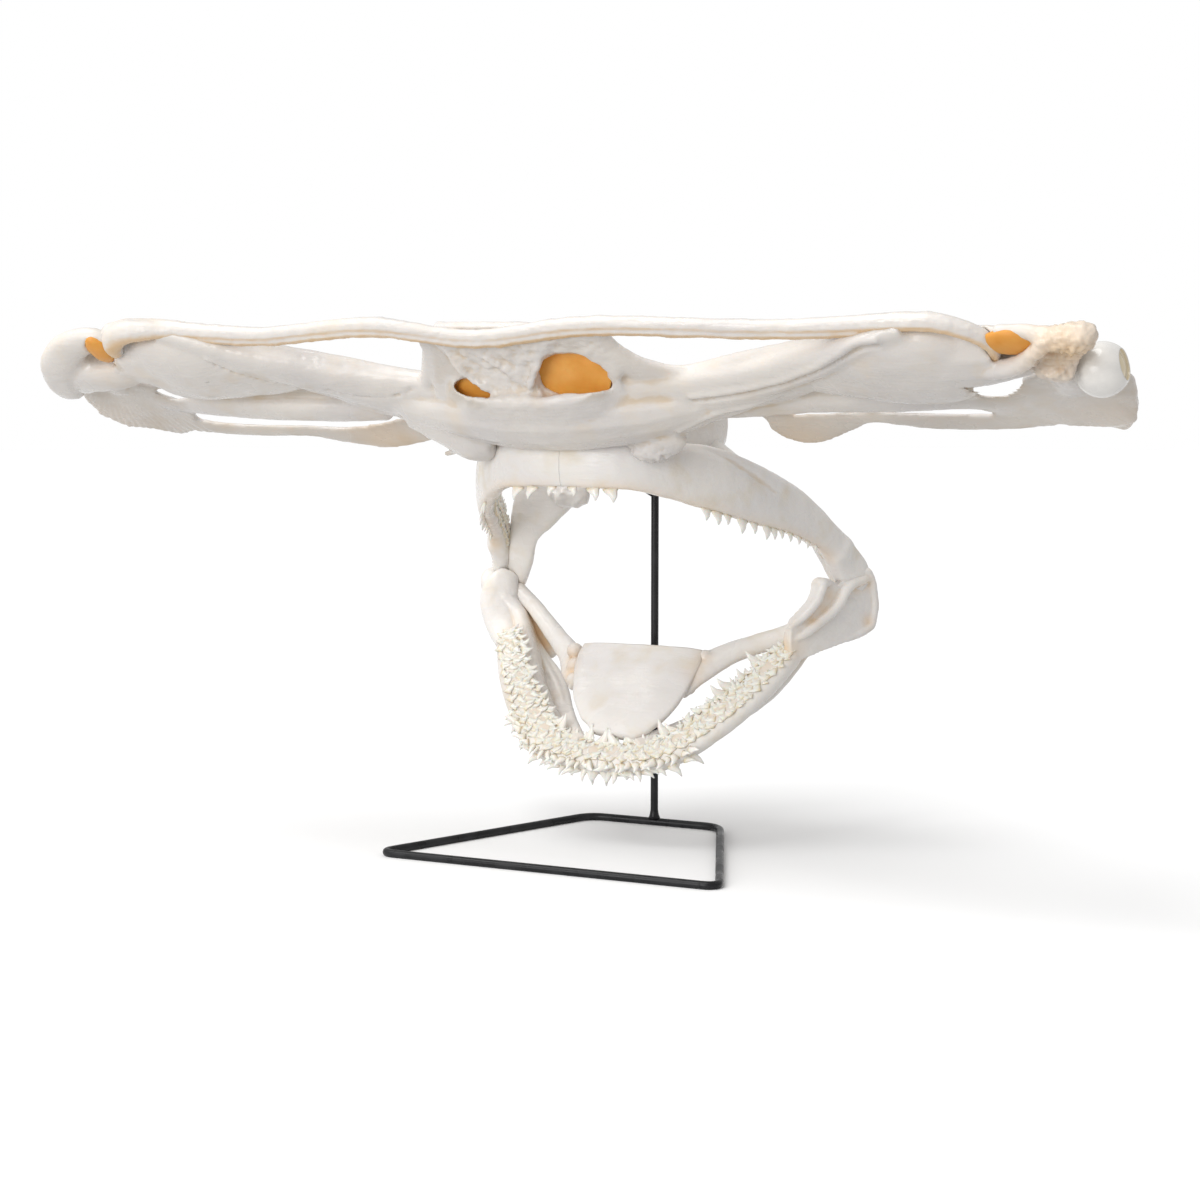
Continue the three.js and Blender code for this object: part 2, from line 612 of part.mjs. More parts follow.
// The part's origin is on the floor under the middle of its box.
const box = new THREE.Box3().setFromObject(part);
const middleOfBox = box.getCenter(new THREE.Vector3());
part.position.set(-middleOfBox.x, -middleOfBox.y, -box.min.z);

export default part;
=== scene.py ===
"""Hammerhead shark skull with open jaws on a bent-rod stand, dressed for a pale studio."""

import logging
import math
import random
from collections.abc import Callable, Iterator, Sequence
from contextlib import contextmanager
from dataclasses import dataclass, field
from enum import Enum
from typing import ClassVar

import bpy
import numpy as np
from mathutils import Matrix, Vector
from mathutils.bvhtree import BVHTree


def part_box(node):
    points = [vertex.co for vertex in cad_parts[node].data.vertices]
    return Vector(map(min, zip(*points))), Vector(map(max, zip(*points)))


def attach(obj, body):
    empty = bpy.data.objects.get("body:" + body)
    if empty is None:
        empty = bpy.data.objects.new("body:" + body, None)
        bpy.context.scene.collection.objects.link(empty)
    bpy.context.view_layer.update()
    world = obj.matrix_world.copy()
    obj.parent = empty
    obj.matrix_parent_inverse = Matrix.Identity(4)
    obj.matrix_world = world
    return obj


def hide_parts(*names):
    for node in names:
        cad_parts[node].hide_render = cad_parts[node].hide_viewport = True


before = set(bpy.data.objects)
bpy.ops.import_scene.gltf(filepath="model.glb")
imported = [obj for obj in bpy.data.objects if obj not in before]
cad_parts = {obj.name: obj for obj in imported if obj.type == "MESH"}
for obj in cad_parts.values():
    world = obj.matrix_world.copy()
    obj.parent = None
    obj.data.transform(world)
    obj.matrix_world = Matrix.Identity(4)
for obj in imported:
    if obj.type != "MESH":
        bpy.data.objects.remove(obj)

log = logging.getLogger("skull")

MM = 0.001
BODY = "root"
UP = Vector((0, 0, 1))
AHEAD = Vector((0, -1, 0))
HAMMER_TILT = math.radians(32)
HAMMER_NORMAL = Vector((0, math.sin(HAMMER_TILT), math.cos(HAMMER_TILT)))
JAW_NORMAL = Vector((0, -0.5, 0.86))
HYOID_NORMAL = Vector((0, -0.7, 0.7))

Piece = bpy.types.Object
Material = bpy.types.Material
Socket = bpy.types.NodeSocket
Triple = tuple[float, float, float]
Colour = Triple
Station = tuple[Vector, float, float]
Spot = tuple[Vector, float, float]
Places = tuple[tuple[float, ...], ...]


class Side(Enum):
    """The two sides of the animal, by the name that the frame's nodes carry."""

    LEFT = "left"
    RIGHT = "right"

    @property
    def way(self) -> int:
        """The sign of X on this side."""
        return 1 if self is Side.LEFT else -1

    @property
    def twist(self) -> float:
        """How far the end of this wing has dried flatter than the hammer, in radians."""
        return math.radians(4.5 if self is Side.LEFT else 1.0)

    @property
    def eye_out(self) -> float:
        """Distance of the eye from the midline, in millimetres."""
        return 329.0 if self is Side.LEFT else 320.0


@dataclass(frozen=True)
class Datum:
    """The foot of the upright, from which the specimen is measured in millimetres."""

    foot: Vector
    pivot_ahead: float = 80.0
    pivot_fore: float = 167.8
    pivot_up: float = 292.4
    twist_span: float = 300.0

    @classmethod
    def from_frame(cls) -> "Datum":
        """Finds the foot in the middle of the back edge of the stand's loop.

        Returns:
            The datum of this frame.
        """
        low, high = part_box("stand_base")
        wire = (high.z - low.z) / 2
        return cls(Vector(((low.x + high.x) / 2, high.y - wire, low.z + wire)))

    def at(self, out: float, fore: float, up: float) -> Vector:
        """A place out to the animal's left, ahead of the upright and above the loop."""
        return self.foot + MM * Vector((out, -fore, up))

    def on_hammer(self, out: float, ahead: float, above: float = 0.0) -> Vector:
        """A place in the tilted plane of the hammer, or at a height above that plane.

        Args:
            out: Distance to the animal's left, in millimetres.
            ahead: Distance ahead in the plane.
            above: Height above the plane.

        Returns:
            The place in metres.
        """
        side = Side.LEFT if out >= 0 else Side.RIGHT
        tilt = HAMMER_TILT - side.twist * min(abs(out) / self.twist_span, 1.0)
        reach = ahead - self.pivot_ahead
        fore = self.pivot_fore + reach * math.cos(tilt) - above * math.sin(tilt)
        up = self.pivot_up + reach * math.sin(tilt) + above * math.cos(tilt)
        return self.at(out, fore, up)


DATUM = Datum.from_frame()


@dataclass(frozen=True)
class FrontWall:
    """The leaning front wall of the braincase, measured from its middle on the midline."""

    fore: float = 180.0
    up: float = 291.0
    lean: float = 0.622
    steep: float = 0.783

    def at(self, out: float, rise: float, front: float = 0.0) -> Vector:
        """A place up the wall and in front of it."""
        fore = self.fore + self.lean * rise + self.steep * front
        return DATUM.at(out, fore, self.up + self.steep * rise - self.lean * front)


@dataclass(frozen=True)
class JointPlate:
    """The upright plate of the left joint of the jaws, measured from its middle."""

    out: float = 127.0
    fore: float = -10.7
    up: float = 140.0
    outward: float = 0.514
    backward: float = 0.857

    def at(self, along: float, rise: float, front: float = 0.0) -> Vector:
        """A place along the plate towards the back, up the plate and in front of it.

        Args:
            along: Distance towards the back, in millimetres.
            rise: Height above the middle.
            front: Distance in front of the plate.

        Returns:
            The place in metres.
        """
        out = self.out + self.outward * along + self.backward * front
        fore = self.fore - self.backward * along + self.outward * front
        return DATUM.at(out, fore, self.up + rise)


WALL = FrontWall()
PLATE = JointPlate()


def facing(way: int) -> Vector:
    """Ahead, and a little to the side with this sign of X."""
    return Vector((0.43 * way, -0.9, 0.1))


def mirrored(side: Side, place: Callable[..., Vector]) -> Callable[..., Vector]:
    """The same places on one side of the animal, where out counts from the midline."""
    return lambda out, *rest: place(side.way * out, *rest)


def stations(place: Callable[..., Vector], path: Places) -> list[Station]:
    """Stations or spots, from rows that each hold a place and then one or two more values."""
    return [(place(*row[:3]), row[3], row[-1]) for row in path]


def only(*objects: Piece) -> None:
    """Selects just these objects, with the first one active.

    Args:
        objects: The objects, at least one.
    """
    bpy.ops.object.select_all(action="DESELECT")
    for obj in objects:
        obj.select_set(True)
    bpy.context.view_layer.objects.active = objects[0]


def primitive(add: Callable[..., set[str]], name: str, **sizes: object) -> Piece:
    """Adds a primitive with nothing else selected.

    Args:
        add: The operator that adds it.
        name: Name of the new object and its mesh.
        sizes: The operator's own settings.

    Returns:
        The new mesh object.
    """
    bpy.ops.object.select_all(action="DESELECT")
    add(**sizes)
    piece = bpy.context.object
    piece.name = piece.data.name = name
    return piece


@contextmanager
def editing(obj: Piece, everything: bool = True) -> Iterator[None]:
    """Edit mode on one object.

    Args:
        obj: The mesh object to work on.
        everything: Whether all of its mesh is selected, or just what was selected before.

    Returns:
        The context, which ends in object mode.
    """
    only(obj)
    bpy.ops.object.mode_set(mode="EDIT")
    if everything:
        bpy.ops.mesh.select_all(action="SELECT")
    yield
    bpy.ops.object.mode_set(mode="OBJECT")


def apply_modifier(obj: Piece, kind: str, **settings: object) -> None:
    """Adds a modifier with these settings and applies it.

    Args:
        obj: The mesh object to shape.
        kind: The modifier's type.
        settings: Values of the modifier's own properties.
    """
    modifier = obj.modifiers.new(kind.title(), kind)
    for key, value in settings.items():
        setattr(modifier, key, value)
    only(obj)
    bpy.ops.object.modifier_apply(modifier=modifier.name)


def carve(obj: Piece, cutter: Piece) -> None:
    """Takes the shape of a plug out of a body and puts the plug away."""
    apply_modifier(obj, "BOOLEAN", operation="DIFFERENCE", solver="MANIFOLD", object=cutter)
    bpy.data.objects.remove(cutter)


def joined(parts: Sequence[Piece], name: str) -> Piece:
    """One object out of several, under a new name.

    Args:
        parts: The objects to join.
        name: Name of the result.

    Returns:
        The joined object.
    """
    only(*parts)
    bpy.ops.object.join()
    whole = bpy.context.object
    whole.name = whole.data.name = name
    return whole


def node_copy(node: str) -> Piece:
    """A loose copy of a node of the frame, with its doubled points merged.

    Args:
        node: The node's name.

    Returns:
        The copy, a closed mesh object.
    """
    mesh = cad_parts[node].data.copy()
    mesh.materials.clear()
    copy = bpy.data.objects.new(f"{node}_copy", mesh)
    bpy.context.scene.collection.objects.link(copy)
    with editing(copy):
        bpy.ops.mesh.remove_doubles(threshold=1e-5)
    return copy


def glide(rows: np.ndarray, share: float) -> np.ndarray:
    """A row on the smooth curve through these rows.

    Args:
        rows: The values that the curve passes through, one row each.
        share: Place along the curve, from 0 to 1.

    Returns:
        The values there.
    """
    last = len(rows) - 1
    place = min(max(share, 0.0), 1.0) * last
    i = min(int(place), last - 1)
    t = place - i
    here, there = rows[i], rows[i + 1]
    before = rows[i - 1] if i else 2 * here - there
    after = rows[i + 2] if i + 2 <= last else 2 * there - here
    bend = 2 * before - 5 * here + 4 * there - after
    twist = 3 * (here - there) + after - before
    return here + 0.5 * ((there - before) * t + bend * t**2 + twist * t**3)


def rounded(outline: Places, count: int) -> Iterator[np.ndarray]:
    """Places spread over the smooth closed curve through the points of an outline.

    Args:
        outline: The points that the curve passes through.
        count: How many places.

    Returns:
        The places, one after the other.
    """
    rows = np.array((*outline, outline[0]), float)
    for i in range(count):
        yield glide(rows, i / count)


@dataclass
class Section:
    """One cross section of a loft, with its half sizes in metres."""

    centre: Vector
    tangent: Vector
    across: Vector
    along: Vector
    wide: float
    tall: float

    def place(self, across: float, along: float) -> Vector:
        """A point given by shares of the half width and the half height."""
        return self.centre + self.across * (across * self.wide) + self.along * (along * self.tall)


@dataclass
class Loft:
    """A closed body swept through stations, each a centre with two half sizes in millimetres."""

    stations: Sequence[Station]
    lift: Vector = field(default_factory=UP.copy)
    sides: int = 20
    steps: int = 40
    power: float = 2.0
    cap_rings: int = 4
    is_loop: bool = False
    relief: Callable[[float, float], float] | None = None

    def rows(self) -> np.ndarray:
        """The stations as rows of numbers in metres."""
        rows = np.array([[*centre, wide * MM, tall * MM] for centre, wide, tall in self.stations])
        return np.vstack([rows, rows[:1]]) if self.is_loop else rows

    def section(self, share: float) -> Section:
        """The cross section at a share of the path.

        Args:
            share: Place along the path, from 0 to 1.

        Returns:
            The section, with its sizes in metres.
        """
        rows = self.rows()
        step = 0.5 / self.steps
        values = glide(rows, share)
        run = Vector((glide(rows, share + step) - glide(rows, share - step))[:3]).normalized()
        across = self.lift.cross(run).normalized()
        return Section(Vector(values[:3]), run, across, run.cross(across), values[3], values[4])

    def spread(self, first: float, last: float, pitch: float) -> Iterator[float]:
        """Shares of the path from first to last that lie a pitch in millimetres apart.

        Args:
            first: Where to start, from 0 to 1.
            last: Where to stop.
            pitch: Distance between two places.

        Returns:
            The shares, one after the other.
        """
        rows = self.rows()
        share = first
        while share < last:
            yield share
            stride = np.linalg.norm((glide(rows, share + 0.01) - glide(rows, share))[:3]) / 0.01
            share += pitch * MM / stride

    def ring(self, index: int) -> tuple[Section, float, float]:
        """One ring of the skin: its section, how much it closes in and how far it is pushed out.

        Args:
            index: Number of the ring, with those of the first cap.

        Returns:
            The section, the share that it closes in to and the push in metres.
        """
        if self.is_loop:
            return self.section(index / self.steps), 1.0, 0.0
        inner = index - self.cap_rings
        section = self.section(inner / self.steps)
        beyond = max(-inner, inner - self.steps, 0)
        angle = math.pi / 2 * beyond / self.cap_rings
        push = 0.7 * min(section.wide, section.tall) * math.sin(angle)
        return section, math.cos(angle), math.copysign(push, inner - self.steps / 2)

    def corner(self, angle: float) -> tuple[float, float]:
        """A point of the section, squarer than an ellipse where the power is above 2.

        Args:
            angle: Turn round the section, in radians.

        Returns:
            Shares of the half width and the half height.
        """
        across, along = math.cos(angle), math.sin(angle)
        square = 2 / self.power
        return math.copysign(abs(across) ** square, across), math.copysign(abs(along) ** square, along)

    def build(self, name: str) -> Piece:
        """Wraps a grid round the path.

        Args:
            name: Name of the new object.

        Returns:
            The closed mesh object.
        """
        rings = self.steps + (0 if self.is_loop else 2 * self.cap_rings)
        grid = {"x_subdivisions": rings, "y_subdivisions": self.sides, "size": 1}
        body = primitive(bpy.ops.mesh.primitive_grid_add, name, **grid)
        frames = [self.ring(i) for i in range(rings + 1)]
        for vertex in body.data.vertices:
            index = round((vertex.co.x + 0.5) * rings)
            section, close, push = frames[index]
            angle = 2 * math.pi * (vertex.co.y + 0.5)
            across, along = self.corner(angle)
            place = section.place(close * across, close * along) + section.tangent * push
            if self.relief is not None:
                share = min(max((index - self.cap_rings) / self.steps, 0.0), 1.0)
                out = section.across * (across * section.tall) + section.along * (along * section.wide)
                place += out.normalized() * (close * MM * self.relief(share, angle))
            vertex.co = place
        with editing(body):
            bpy.ops.mesh.remove_doubles(threshold=2e-6)
            bpy.ops.mesh.normals_make_consistent(inside=False)
        return body


def egg(centre: Vector, half_sizes: Triple, name: str) -> Piece:
    """A rounded lump that is joined into a larger body.

    Args:
        centre: Its middle.
        half_sizes: Its three half sizes in millimetres.
        name: Name of the new object.

    Returns:
        The closed mesh object.
    """
    lump = primitive(bpy.ops.mesh.primitive_ico_sphere_add, name, subdivisions=3, radius=MM)
    lump.data.transform(Matrix.Translation(centre) @ Matrix.Diagonal((*half_sizes, 1)))
    return lump


def slab(outline: Sequence[Vector], push: Vector, name: str) -> Piece:
    """A flat outline pushed out into a closed slab.

    Args:
        outline: Its corners in order.
        push: How far and where the outline is pushed.
        name: Name of the new object.

    Returns:
        The closed mesh object.
    """
    circle = {"vertices": len(outline), "radius": 1, "fill_type": "NGON"}
    body = primitive(bpy.ops.mesh.primitive_circle_add, name, **circle)
    for vertex, place in zip(body.data.vertices, outline):
        vertex.co = place
    with editing(body):
        bpy.ops.mesh.extrude_region_move(TRANSFORM_OT_translate={"value": push})
        bpy.ops.mesh.select_all(action="SELECT")
        bpy.ops.mesh.normals_make_consistent(inside=False)
    return body


def fuse(parts: Sequence[Piece], name: str, voxel: float, rounds: int) -> Piece:
    """Grows overlapping bodies into one skin and evens it out without thinning it.

    Args:
        parts: The closed bodies.
        name: Name of the result.
        voxel: Size of the skin's cells in millimetres.
        rounds: How many times the skin is evened out.

    Returns:
        The object with the new skin.
    """
    whole = joined(parts, name)
    apply_modifier(whole, "REMESH", mode="VOXEL", voxel_size=voxel * MM, use_smooth_shade=True)
    even_out(whole, rounds)
    return whole


def even_out(obj: Piece, rounds: int) -> None:
    """Smooths a skin and swells it back by turns, so that thin bars keep their size.

    Args:
        obj: The mesh object.
        rounds: How many times.
    """
    for _ in range(rounds):
        apply_modifier(obj, "SMOOTH", factor=0.6, iterations=1)
        apply_modifier(obj, "SMOOTH", factor=-0.62, iterations=1)


def points_of(obj: Piece) -> np.ndarray:
    """The places of a mesh's points, one row each.

    Args:
        obj: The mesh object.

    Returns:
        An array with three columns, in metres.
    """
    flat = np.empty(3 * len(obj.data.vertices), np.float32)
    obj.data.vertices.foreach_get("co", flat)
    return flat.reshape(-1, 3).astype(float)


def nearness(obj: Piece, spots: Sequence[Spot]) -> np.ndarray:
    """How near each point of a skin lies to some spots.

    Args:
        obj: The mesh object.
        spots: Places, each with a size in millimetres and a strength up to 1.

    Returns:
        A number from 0 to 1 for each point.
    """
    places = points_of(obj)
    total = np.zeros(len(places))
    for centre, size, strength in spots:
        away = np.linalg.norm(places - np.array(centre), axis=1) / (size * MM)
        total += strength * np.exp(-(away**2))
    return np.clip(total, 0, 1)


def roughen(obj: Piece, grain: float, height: float, spots: Sequence[Spot] = ()) -> None:
    """Raises and lowers a skin by a cloudy pattern.

    Args:
        obj: The mesh object.
        grain: Size of the pattern's lumps in millimetres.
        height: Height of the lumps in millimetres.
        spots: Where the pattern shows, or nothing for the whole skin.
    """
    clouds = bpy.data.textures.new(f"{obj.name}_relief", "CLOUDS")
    clouds.noise_scale = grain * MM
    clouds.noise_depth = 3
    settings = {"texture": clouds, "texture_coords": "LOCAL", "strength": height * MM, "mid_level": 0.5}
    if spots:
        group = obj.vertex_groups.new(name="rough")
        for index, weight in enumerate(nearness(obj, spots)):
            group.add([index], float(weight), "REPLACE")
        settings["vertex_group"] = group.name
    apply_modifier(obj, "DISPLACE", **settings)


def note(obj: Piece, name: str, values: np.ndarray) -> None:
    """Stores one number for each point of a mesh, for its finish to read."""
    attribute = obj.data.attributes.new(name, "FLOAT", "POINT")
    attribute.data.foreach_set("value", np.ascontiguousarray(values, np.float32))


def note_relief(obj: Piece, reach: int = 10, depth: float = 0.5) -> None:
    """Stores how hollow and how ridged each point of a skin is.

    Args:
        obj: The mesh object.
        reach: How many rings of neighbours count.
        depth: Height over which hollow and ridge reach their full strength, in millimetres.
    """
    mesh = obj.data
    places = points_of(obj)
    pairs = np.empty(2 * len(mesh.edges), np.int32)
    mesh.edges.foreach_get("vertices", pairs)
    first, second = pairs.reshape(-1, 2).T
    count = np.bincount(pairs, minlength=len(places))[:, None]
    normals = np.empty(3 * len(places), np.float32)
    mesh.vertices.foreach_get("normal", normals)
    eased = places
    for _ in range(reach):
        total = np.empty_like(eased)
        for axis in range(3):
            total[:, axis] = np.bincount(first, eased[second, axis], len(places))
            total[:, axis] += np.bincount(second, eased[first, axis], len(places))
        eased = total / count
    rise = ((eased - places) * normals.reshape(-1, 3)).sum(axis=1) / (depth * MM)
    note(obj, "hollow", np.clip(rise, 0, 1))
    note(obj, "ridge", np.clip(-rise, 0, 1))


class Sketch:
    """A material that is put together node by node."""

    def __init__(self, name: str) -> None:
        """Starts an empty material with a surface shader.

        Args:
            name: Name of the material.
        """
        self.material = bpy.data.materials.new(name)
        self.material.use_nodes = True
        self.tree = self.material.node_tree
        self.tree.nodes.clear()
        self.shader = self.add("ShaderNodeBsdfPrincipled")
        output = self.add("ShaderNodeOutputMaterial")
        self.tree.links.new(self.shader.outputs[0], output.inputs[0])

    def add(self, kind: str, **settings: object) -> bpy.types.Node:
        """A new node with these properties.

        Args:
            kind: The node's type.
            settings: Values of the node's own properties.

        Returns:
            The new node.
        """
        node = self.tree.nodes.new(kind)
        for key, value in settings.items():
            setattr(node, key, value)
        return node

    def put(self, node: bpy.types.Node, socket: str | int, value: object) -> None:
        """Links an output to a socket, or sets the socket's own value.

        Args:
            node: The node that gets the value.
            socket: Name or number of its socket.
            value: An output, a number or a tuple.
        """
        target = node.inputs[socket]
        if isinstance(value, Socket):
            self.tree.links.new(value, target)
        elif isinstance(value, tuple) and len(value) == 3 and target.type == "RGBA":
            target.default_value = (*value, 1)
        else:
            target.default_value = value

    def noise(self, scale: float, stretch: Triple = (1, 1, 1), detail: float = 4.0) -> Socket:
        """Cloudy noise in the piece's own space, stretched by these factors along X, Y and Z.

        Args:
            scale: How many clouds there are in a metre.
            stretch: Factors on the scale.
            detail: How fine the clouds are broken up.

        Returns:
            The output that carries the result.
        """
        coords = self.add("ShaderNodeTexCoord")
        mapping = self.add("ShaderNodeMapping")
        self.put(mapping, "Vector", coords.outputs["Object"])
        self.put(mapping, "Rotation", (-HAMMER_TILT, 0, 0))
        self.put(mapping, "Scale", tuple(scale * s for s in stretch))
        noise = self.add("ShaderNodeTexNoise")
        self.put(noise, "Vector", mapping.outputs[0])
        self.put(noise, "Scale", 1.0)
        self.put(noise, "Detail", detail)
        return noise.outputs["Fac"]

    def attribute(self, name: str) -> Socket:
        """A number that the piece holds at each of its points."""
        return self.add("ShaderNodeAttribute", attribute_name=name).outputs["Fac"]

    def coat(self, sockets: dict[str, object]) -> Material:
        """Fills these sockets of the surface shader and hands over the material.

        Args:
            sockets: The sockets' names with their values.

        Returns:
            The finished material.
        """
        for socket, value in sockets.items():
            self.put(self.shader, socket, value)
        return self.material

    def span(self, value: Socket, low: float, high: float, to: float = 1.0) -> Socket:
        """Spreads the part of a value between low and high over 0 to a new limit.

        Args:
            value: What is spread.
            low: What becomes 0.
            high: What becomes the new limit.
            to: The new limit.

        Returns:
            The output that carries the result.
        """
        spread = self.add("ShaderNodeMapRange")
        for socket, number in (("From Min", low), ("From Max", high), ("To Max", to)):
            self.put(spread, socket, number)
        self.put(spread, "Value", value)
        return spread.outputs["Result"]

    def mix(self, share: Socket, first: object, second: object) -> Socket:
        """A colour between two others.

        Args:
            share: How much of the second colour, from 0 to 1.
            first: A colour or an output.
            second: A colour or an output.

        Returns:
            The output that carries the result.
        """
        blend = self.add("ShaderNodeMix", data_type="RGBA")
        self.put(blend, 0, share)
        self.put(blend, 6, first)
        self.put(blend, 7, second)
        return blend.outputs[2]

    def product(self, first: Socket, second: Socket) -> Socket:
        """Two values multiplied.

        Args:
            first: One value.
            second: The other value.

        Returns:
            The output that carries the result.
        """
        node = self.add("ShaderNodeMath", operation="MULTIPLY")
        self.put(node, 0, first)
        self.put(node, 1, second)
        return node.outputs[0]

    def relief(self, heights: Sequence[tuple[Socket, float, float]]) -> None:
        """Bumps one over another, each a height, a strength and a depth in millimetres.

        Args:
            heights: The bumps, from the coarsest to the finest.
        """
        normal = None
        for height, strength, depth in heights:
            bump = self.add("ShaderNodeBump")
            self.put(bump, "Height", height)
            self.put(bump, "Strength", strength)
            self.put(bump, "Distance", depth * MM)
            if normal is not None:
                self.put(bump, "Normal", normal)
            normal = bump.outputs[0]
        self.put(self.shader, "Normal", normal)


@dataclass(frozen=True)
class CartilageFinish:
    """Bleached cartilage: ivory with cool and warm clouds, fine fibres, and tan in the hollows, partly a
    stain and partly painted shade.
    """

    name: str
    pale: Colour = (0.82, 0.785, 0.74)
    cool: Colour = (0.76, 0.73, 0.71)
    warm: Colour = (0.80, 0.71, 0.59)
    tan: Colour = (0.60, 0.45, 0.27)
    edge: Colour = (0.55, 0.48, 0.39)
    amber: Colour = (0.78, 0.45, 0.12)
    grain: Triple = (0.12, 1.0, 1.0)
    translucent: float = 0.12

    @classmethod
    def greyed_and_shaded(cls, name: str) -> "CartilageFinish":
        """The greyer cartilage of the hammer, darkened further as painted shade for its downward-facing
        underside.
        """
        return cls(name, (0.75, 0.705, 0.655), (0.67, 0.635, 0.61), (0.73, 0.63, 0.51))

    def make(self) -> Material:
        """The material with its colour, gloss and relief.

        Returns:
            The finished material.
        """
        sketch = Sketch(self.name)
        clouds = sketch.noise(16)
        patches = sketch.noise(45, detail=6)
        fibres = sketch.noise(420, self.grain, 5)
        hollow = sketch.attribute("hollow")
        colour = sketch.mix(sketch.span(clouds, 0.4, 0.68), self.pale, self.cool)
        colour = sketch.mix(sketch.span(patches, 0.55, 0.75, 0.55), colour, self.warm)
        colour = sketch.mix(sketch.span(fibres, 0.5, 0.85, 0.22), colour, self.cool)
        # Tan where the skin is hollow, broken up by patches: partly a stain gathered in the creases, partly
        # painted shade.
        hollow_stain_and_shade = sketch.product(sketch.span(hollow, 0.4, 1.0), sketch.span(patches, 0.3, 0.65, 0.5))
        colour = sketch.mix(hollow_stain_and_shade, colour, self.tan)
        # Greyer brown where the cartilage is thin: partly the see-through tone of thin cartilage, partly
        # painted shade on the thin plates.
        colour = sketch.mix(sketch.span(sketch.attribute("thin"), 0.2, 0.9, 0.7), colour, self.edge)
        colour = sketch.mix(sketch.attribute("amber"), colour, self.amber)
        folds = sketch.noise(150, (0.2, 1.0, 1.0), 4)
        sketch.relief([(patches, 0.4, 1.2), (folds, 0.4, 1.0), (fibres, 0.55, 0.45)])
        return sketch.coat({
            "Base Color": colour,
            "Roughness": sketch.span(patches, 0.3, 0.7, 0.62),
            "Subsurface Weight": self.translucent,
            "Subsurface Radius": (1.0, 0.72, 0.5),
            "Subsurface Scale": 0.004,
            "Specular IOR Level": 0.35,
        })


@dataclass(frozen=True)
class ToothFinish:
    """Enamel, yellowed towards the gum."""

    name: str = "enamel"
    pale: Colour = (0.88, 0.855, 0.80)
    gum: Colour = (0.76, 0.62, 0.38)

    def make(self) -> Material:
        """The material with its colour and gloss.

        Returns:
            The finished material.
        """
        sketch = Sketch(self.name)
        patches = sketch.noise(260, detail=3)
        root = sketch.product(sketch.attribute("root"), sketch.span(patches, 0.25, 0.7))
        sketch.relief([(patches, 0.2, 0.3)])
        return sketch.coat({
            "Base Color": sketch.mix(root, self.pale, self.gum),
            "Roughness": sketch.span(patches, 0.2, 0.8, 0.45),
            "Subsurface Weight": 0.1,
            "Subsurface Scale": 0.002,
        })


@dataclass(frozen=True)
class AmberFinish:
    """Dried orange membrane that lines the brain cavity and the nostrils."""

    name: str = "amber_lining"
    pale: Colour = (0.76, 0.36, 0.065)
    deep: Colour = (0.67, 0.28, 0.035)

    def make(self) -> Material:
        """The material with its colour, gloss and faint wrinkles.

        Returns:
            The finished material.
        """
        sketch = Sketch(self.name)
        clouds = sketch.noise(60, (1, 0.4, 1.6), 3)
        sketch.relief([(clouds, 0.4, 0.8)])
        return sketch.coat({
            "Base Color": sketch.mix(sketch.span(clouds, 0.35, 0.7), self.pale, self.deep),
            "Roughness": sketch.span(clouds, 0.0, 1.0, 0.9),
            "Subsurface Weight": 0.2,
            "Subsurface Scale": 0.006,
        })


@dataclass(frozen=True)
class ScleraFinish:
    """Pearly white of the eyeball, cream inside the opening."""

    name: str = "sclera_pearl"
    pale: Colour = (0.84, 0.815, 0.775)
    cool: Colour = (0.76, 0.74, 0.71)
    cream: Colour = (0.82, 0.70, 0.48)

    def make(self) -> Material:
        """The material with its colour and soft gloss.

        Returns:
            The finished material.
        """
        sketch = Sketch(self.name)
        clouds = sketch.noise(120, detail=5)
        colour = sketch.mix(sketch.span(clouds, 0.4, 0.7), self.pale, self.cool)
        colour = sketch.mix(sketch.attribute("pupil"), colour, self.cream)
        sketch.relief([(clouds, 0.2, 0.4)])
        return sketch.coat({
            "Base Color": colour,
            "Roughness": sketch.span(clouds, 0.2, 0.9, 0.5),
            "Coat Weight": 0.15,
            "Coat Roughness": 0.3,
        })


@dataclass(frozen=True)
class SteelFinish:
    """Satin black paint on the stand's steel rod."""

    name: str = "satin_black"
    paint: Colour = (0.012, 0.012, 0.013)
    worn: Colour = (0.03, 0.03, 0.032)

    def make(self) -> Material:
        """The material with its colour, gloss and fine orange peel.

        Returns:
            The finished material.
        """
        sketch = Sketch(self.name)
        peel = sketch.noise(900, detail=2)
        clouds = sketch.noise(70)
        sketch.relief([(peel, 0.12, 0.1)])
        return sketch.coat({
            "Base Color": sketch.mix(sketch.span(clouds, 0.45, 0.75), self.paint, self.worn),
            "Roughness": sketch.span(clouds, 0.1, 0.9, 0.6),
            "Specular IOR Level": 0.22,
        })


@dataclass(frozen=True)
class FloorFinish:
    """Smooth pale studio floor."""

    name: str = "studio_floor"
    pale: Colour = (0.95, 0.95, 0.95)

    def make(self) -> Material:
        """The material with a matt surface."""
        sketch = Sketch(self.name)
        return sketch.coat({"Base Color": self.pale, "Roughness": 0.9, "Specular IOR Level": 0.1})


def settle(obj: Piece, material: Material, slot: str, *nodes: str) -> Piece:
    """Gives a finished piece its finish and its place in the frame.

    Args:
        obj: The finished piece.
        material: Its finish.
        slot: Not used.
        nodes: Nodes of the frame that the piece stands for.

    Returns:
        The piece.
    """
    obj.data.materials.clear()
    obj.data.materials.append(material)
    only(obj)
    bpy.ops.object.shade_smooth()
    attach(obj, BODY)
    if nodes:
        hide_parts(*nodes)
    log.info("%s: %d faces", obj.name, len(obj.data.polygons))
    return obj


def bump(value: float, middle: float, spread: float) -> float:
    """A smooth bump of height 1 about a middle value."""
    return math.exp(-(((value - middle) / spread) ** 2))


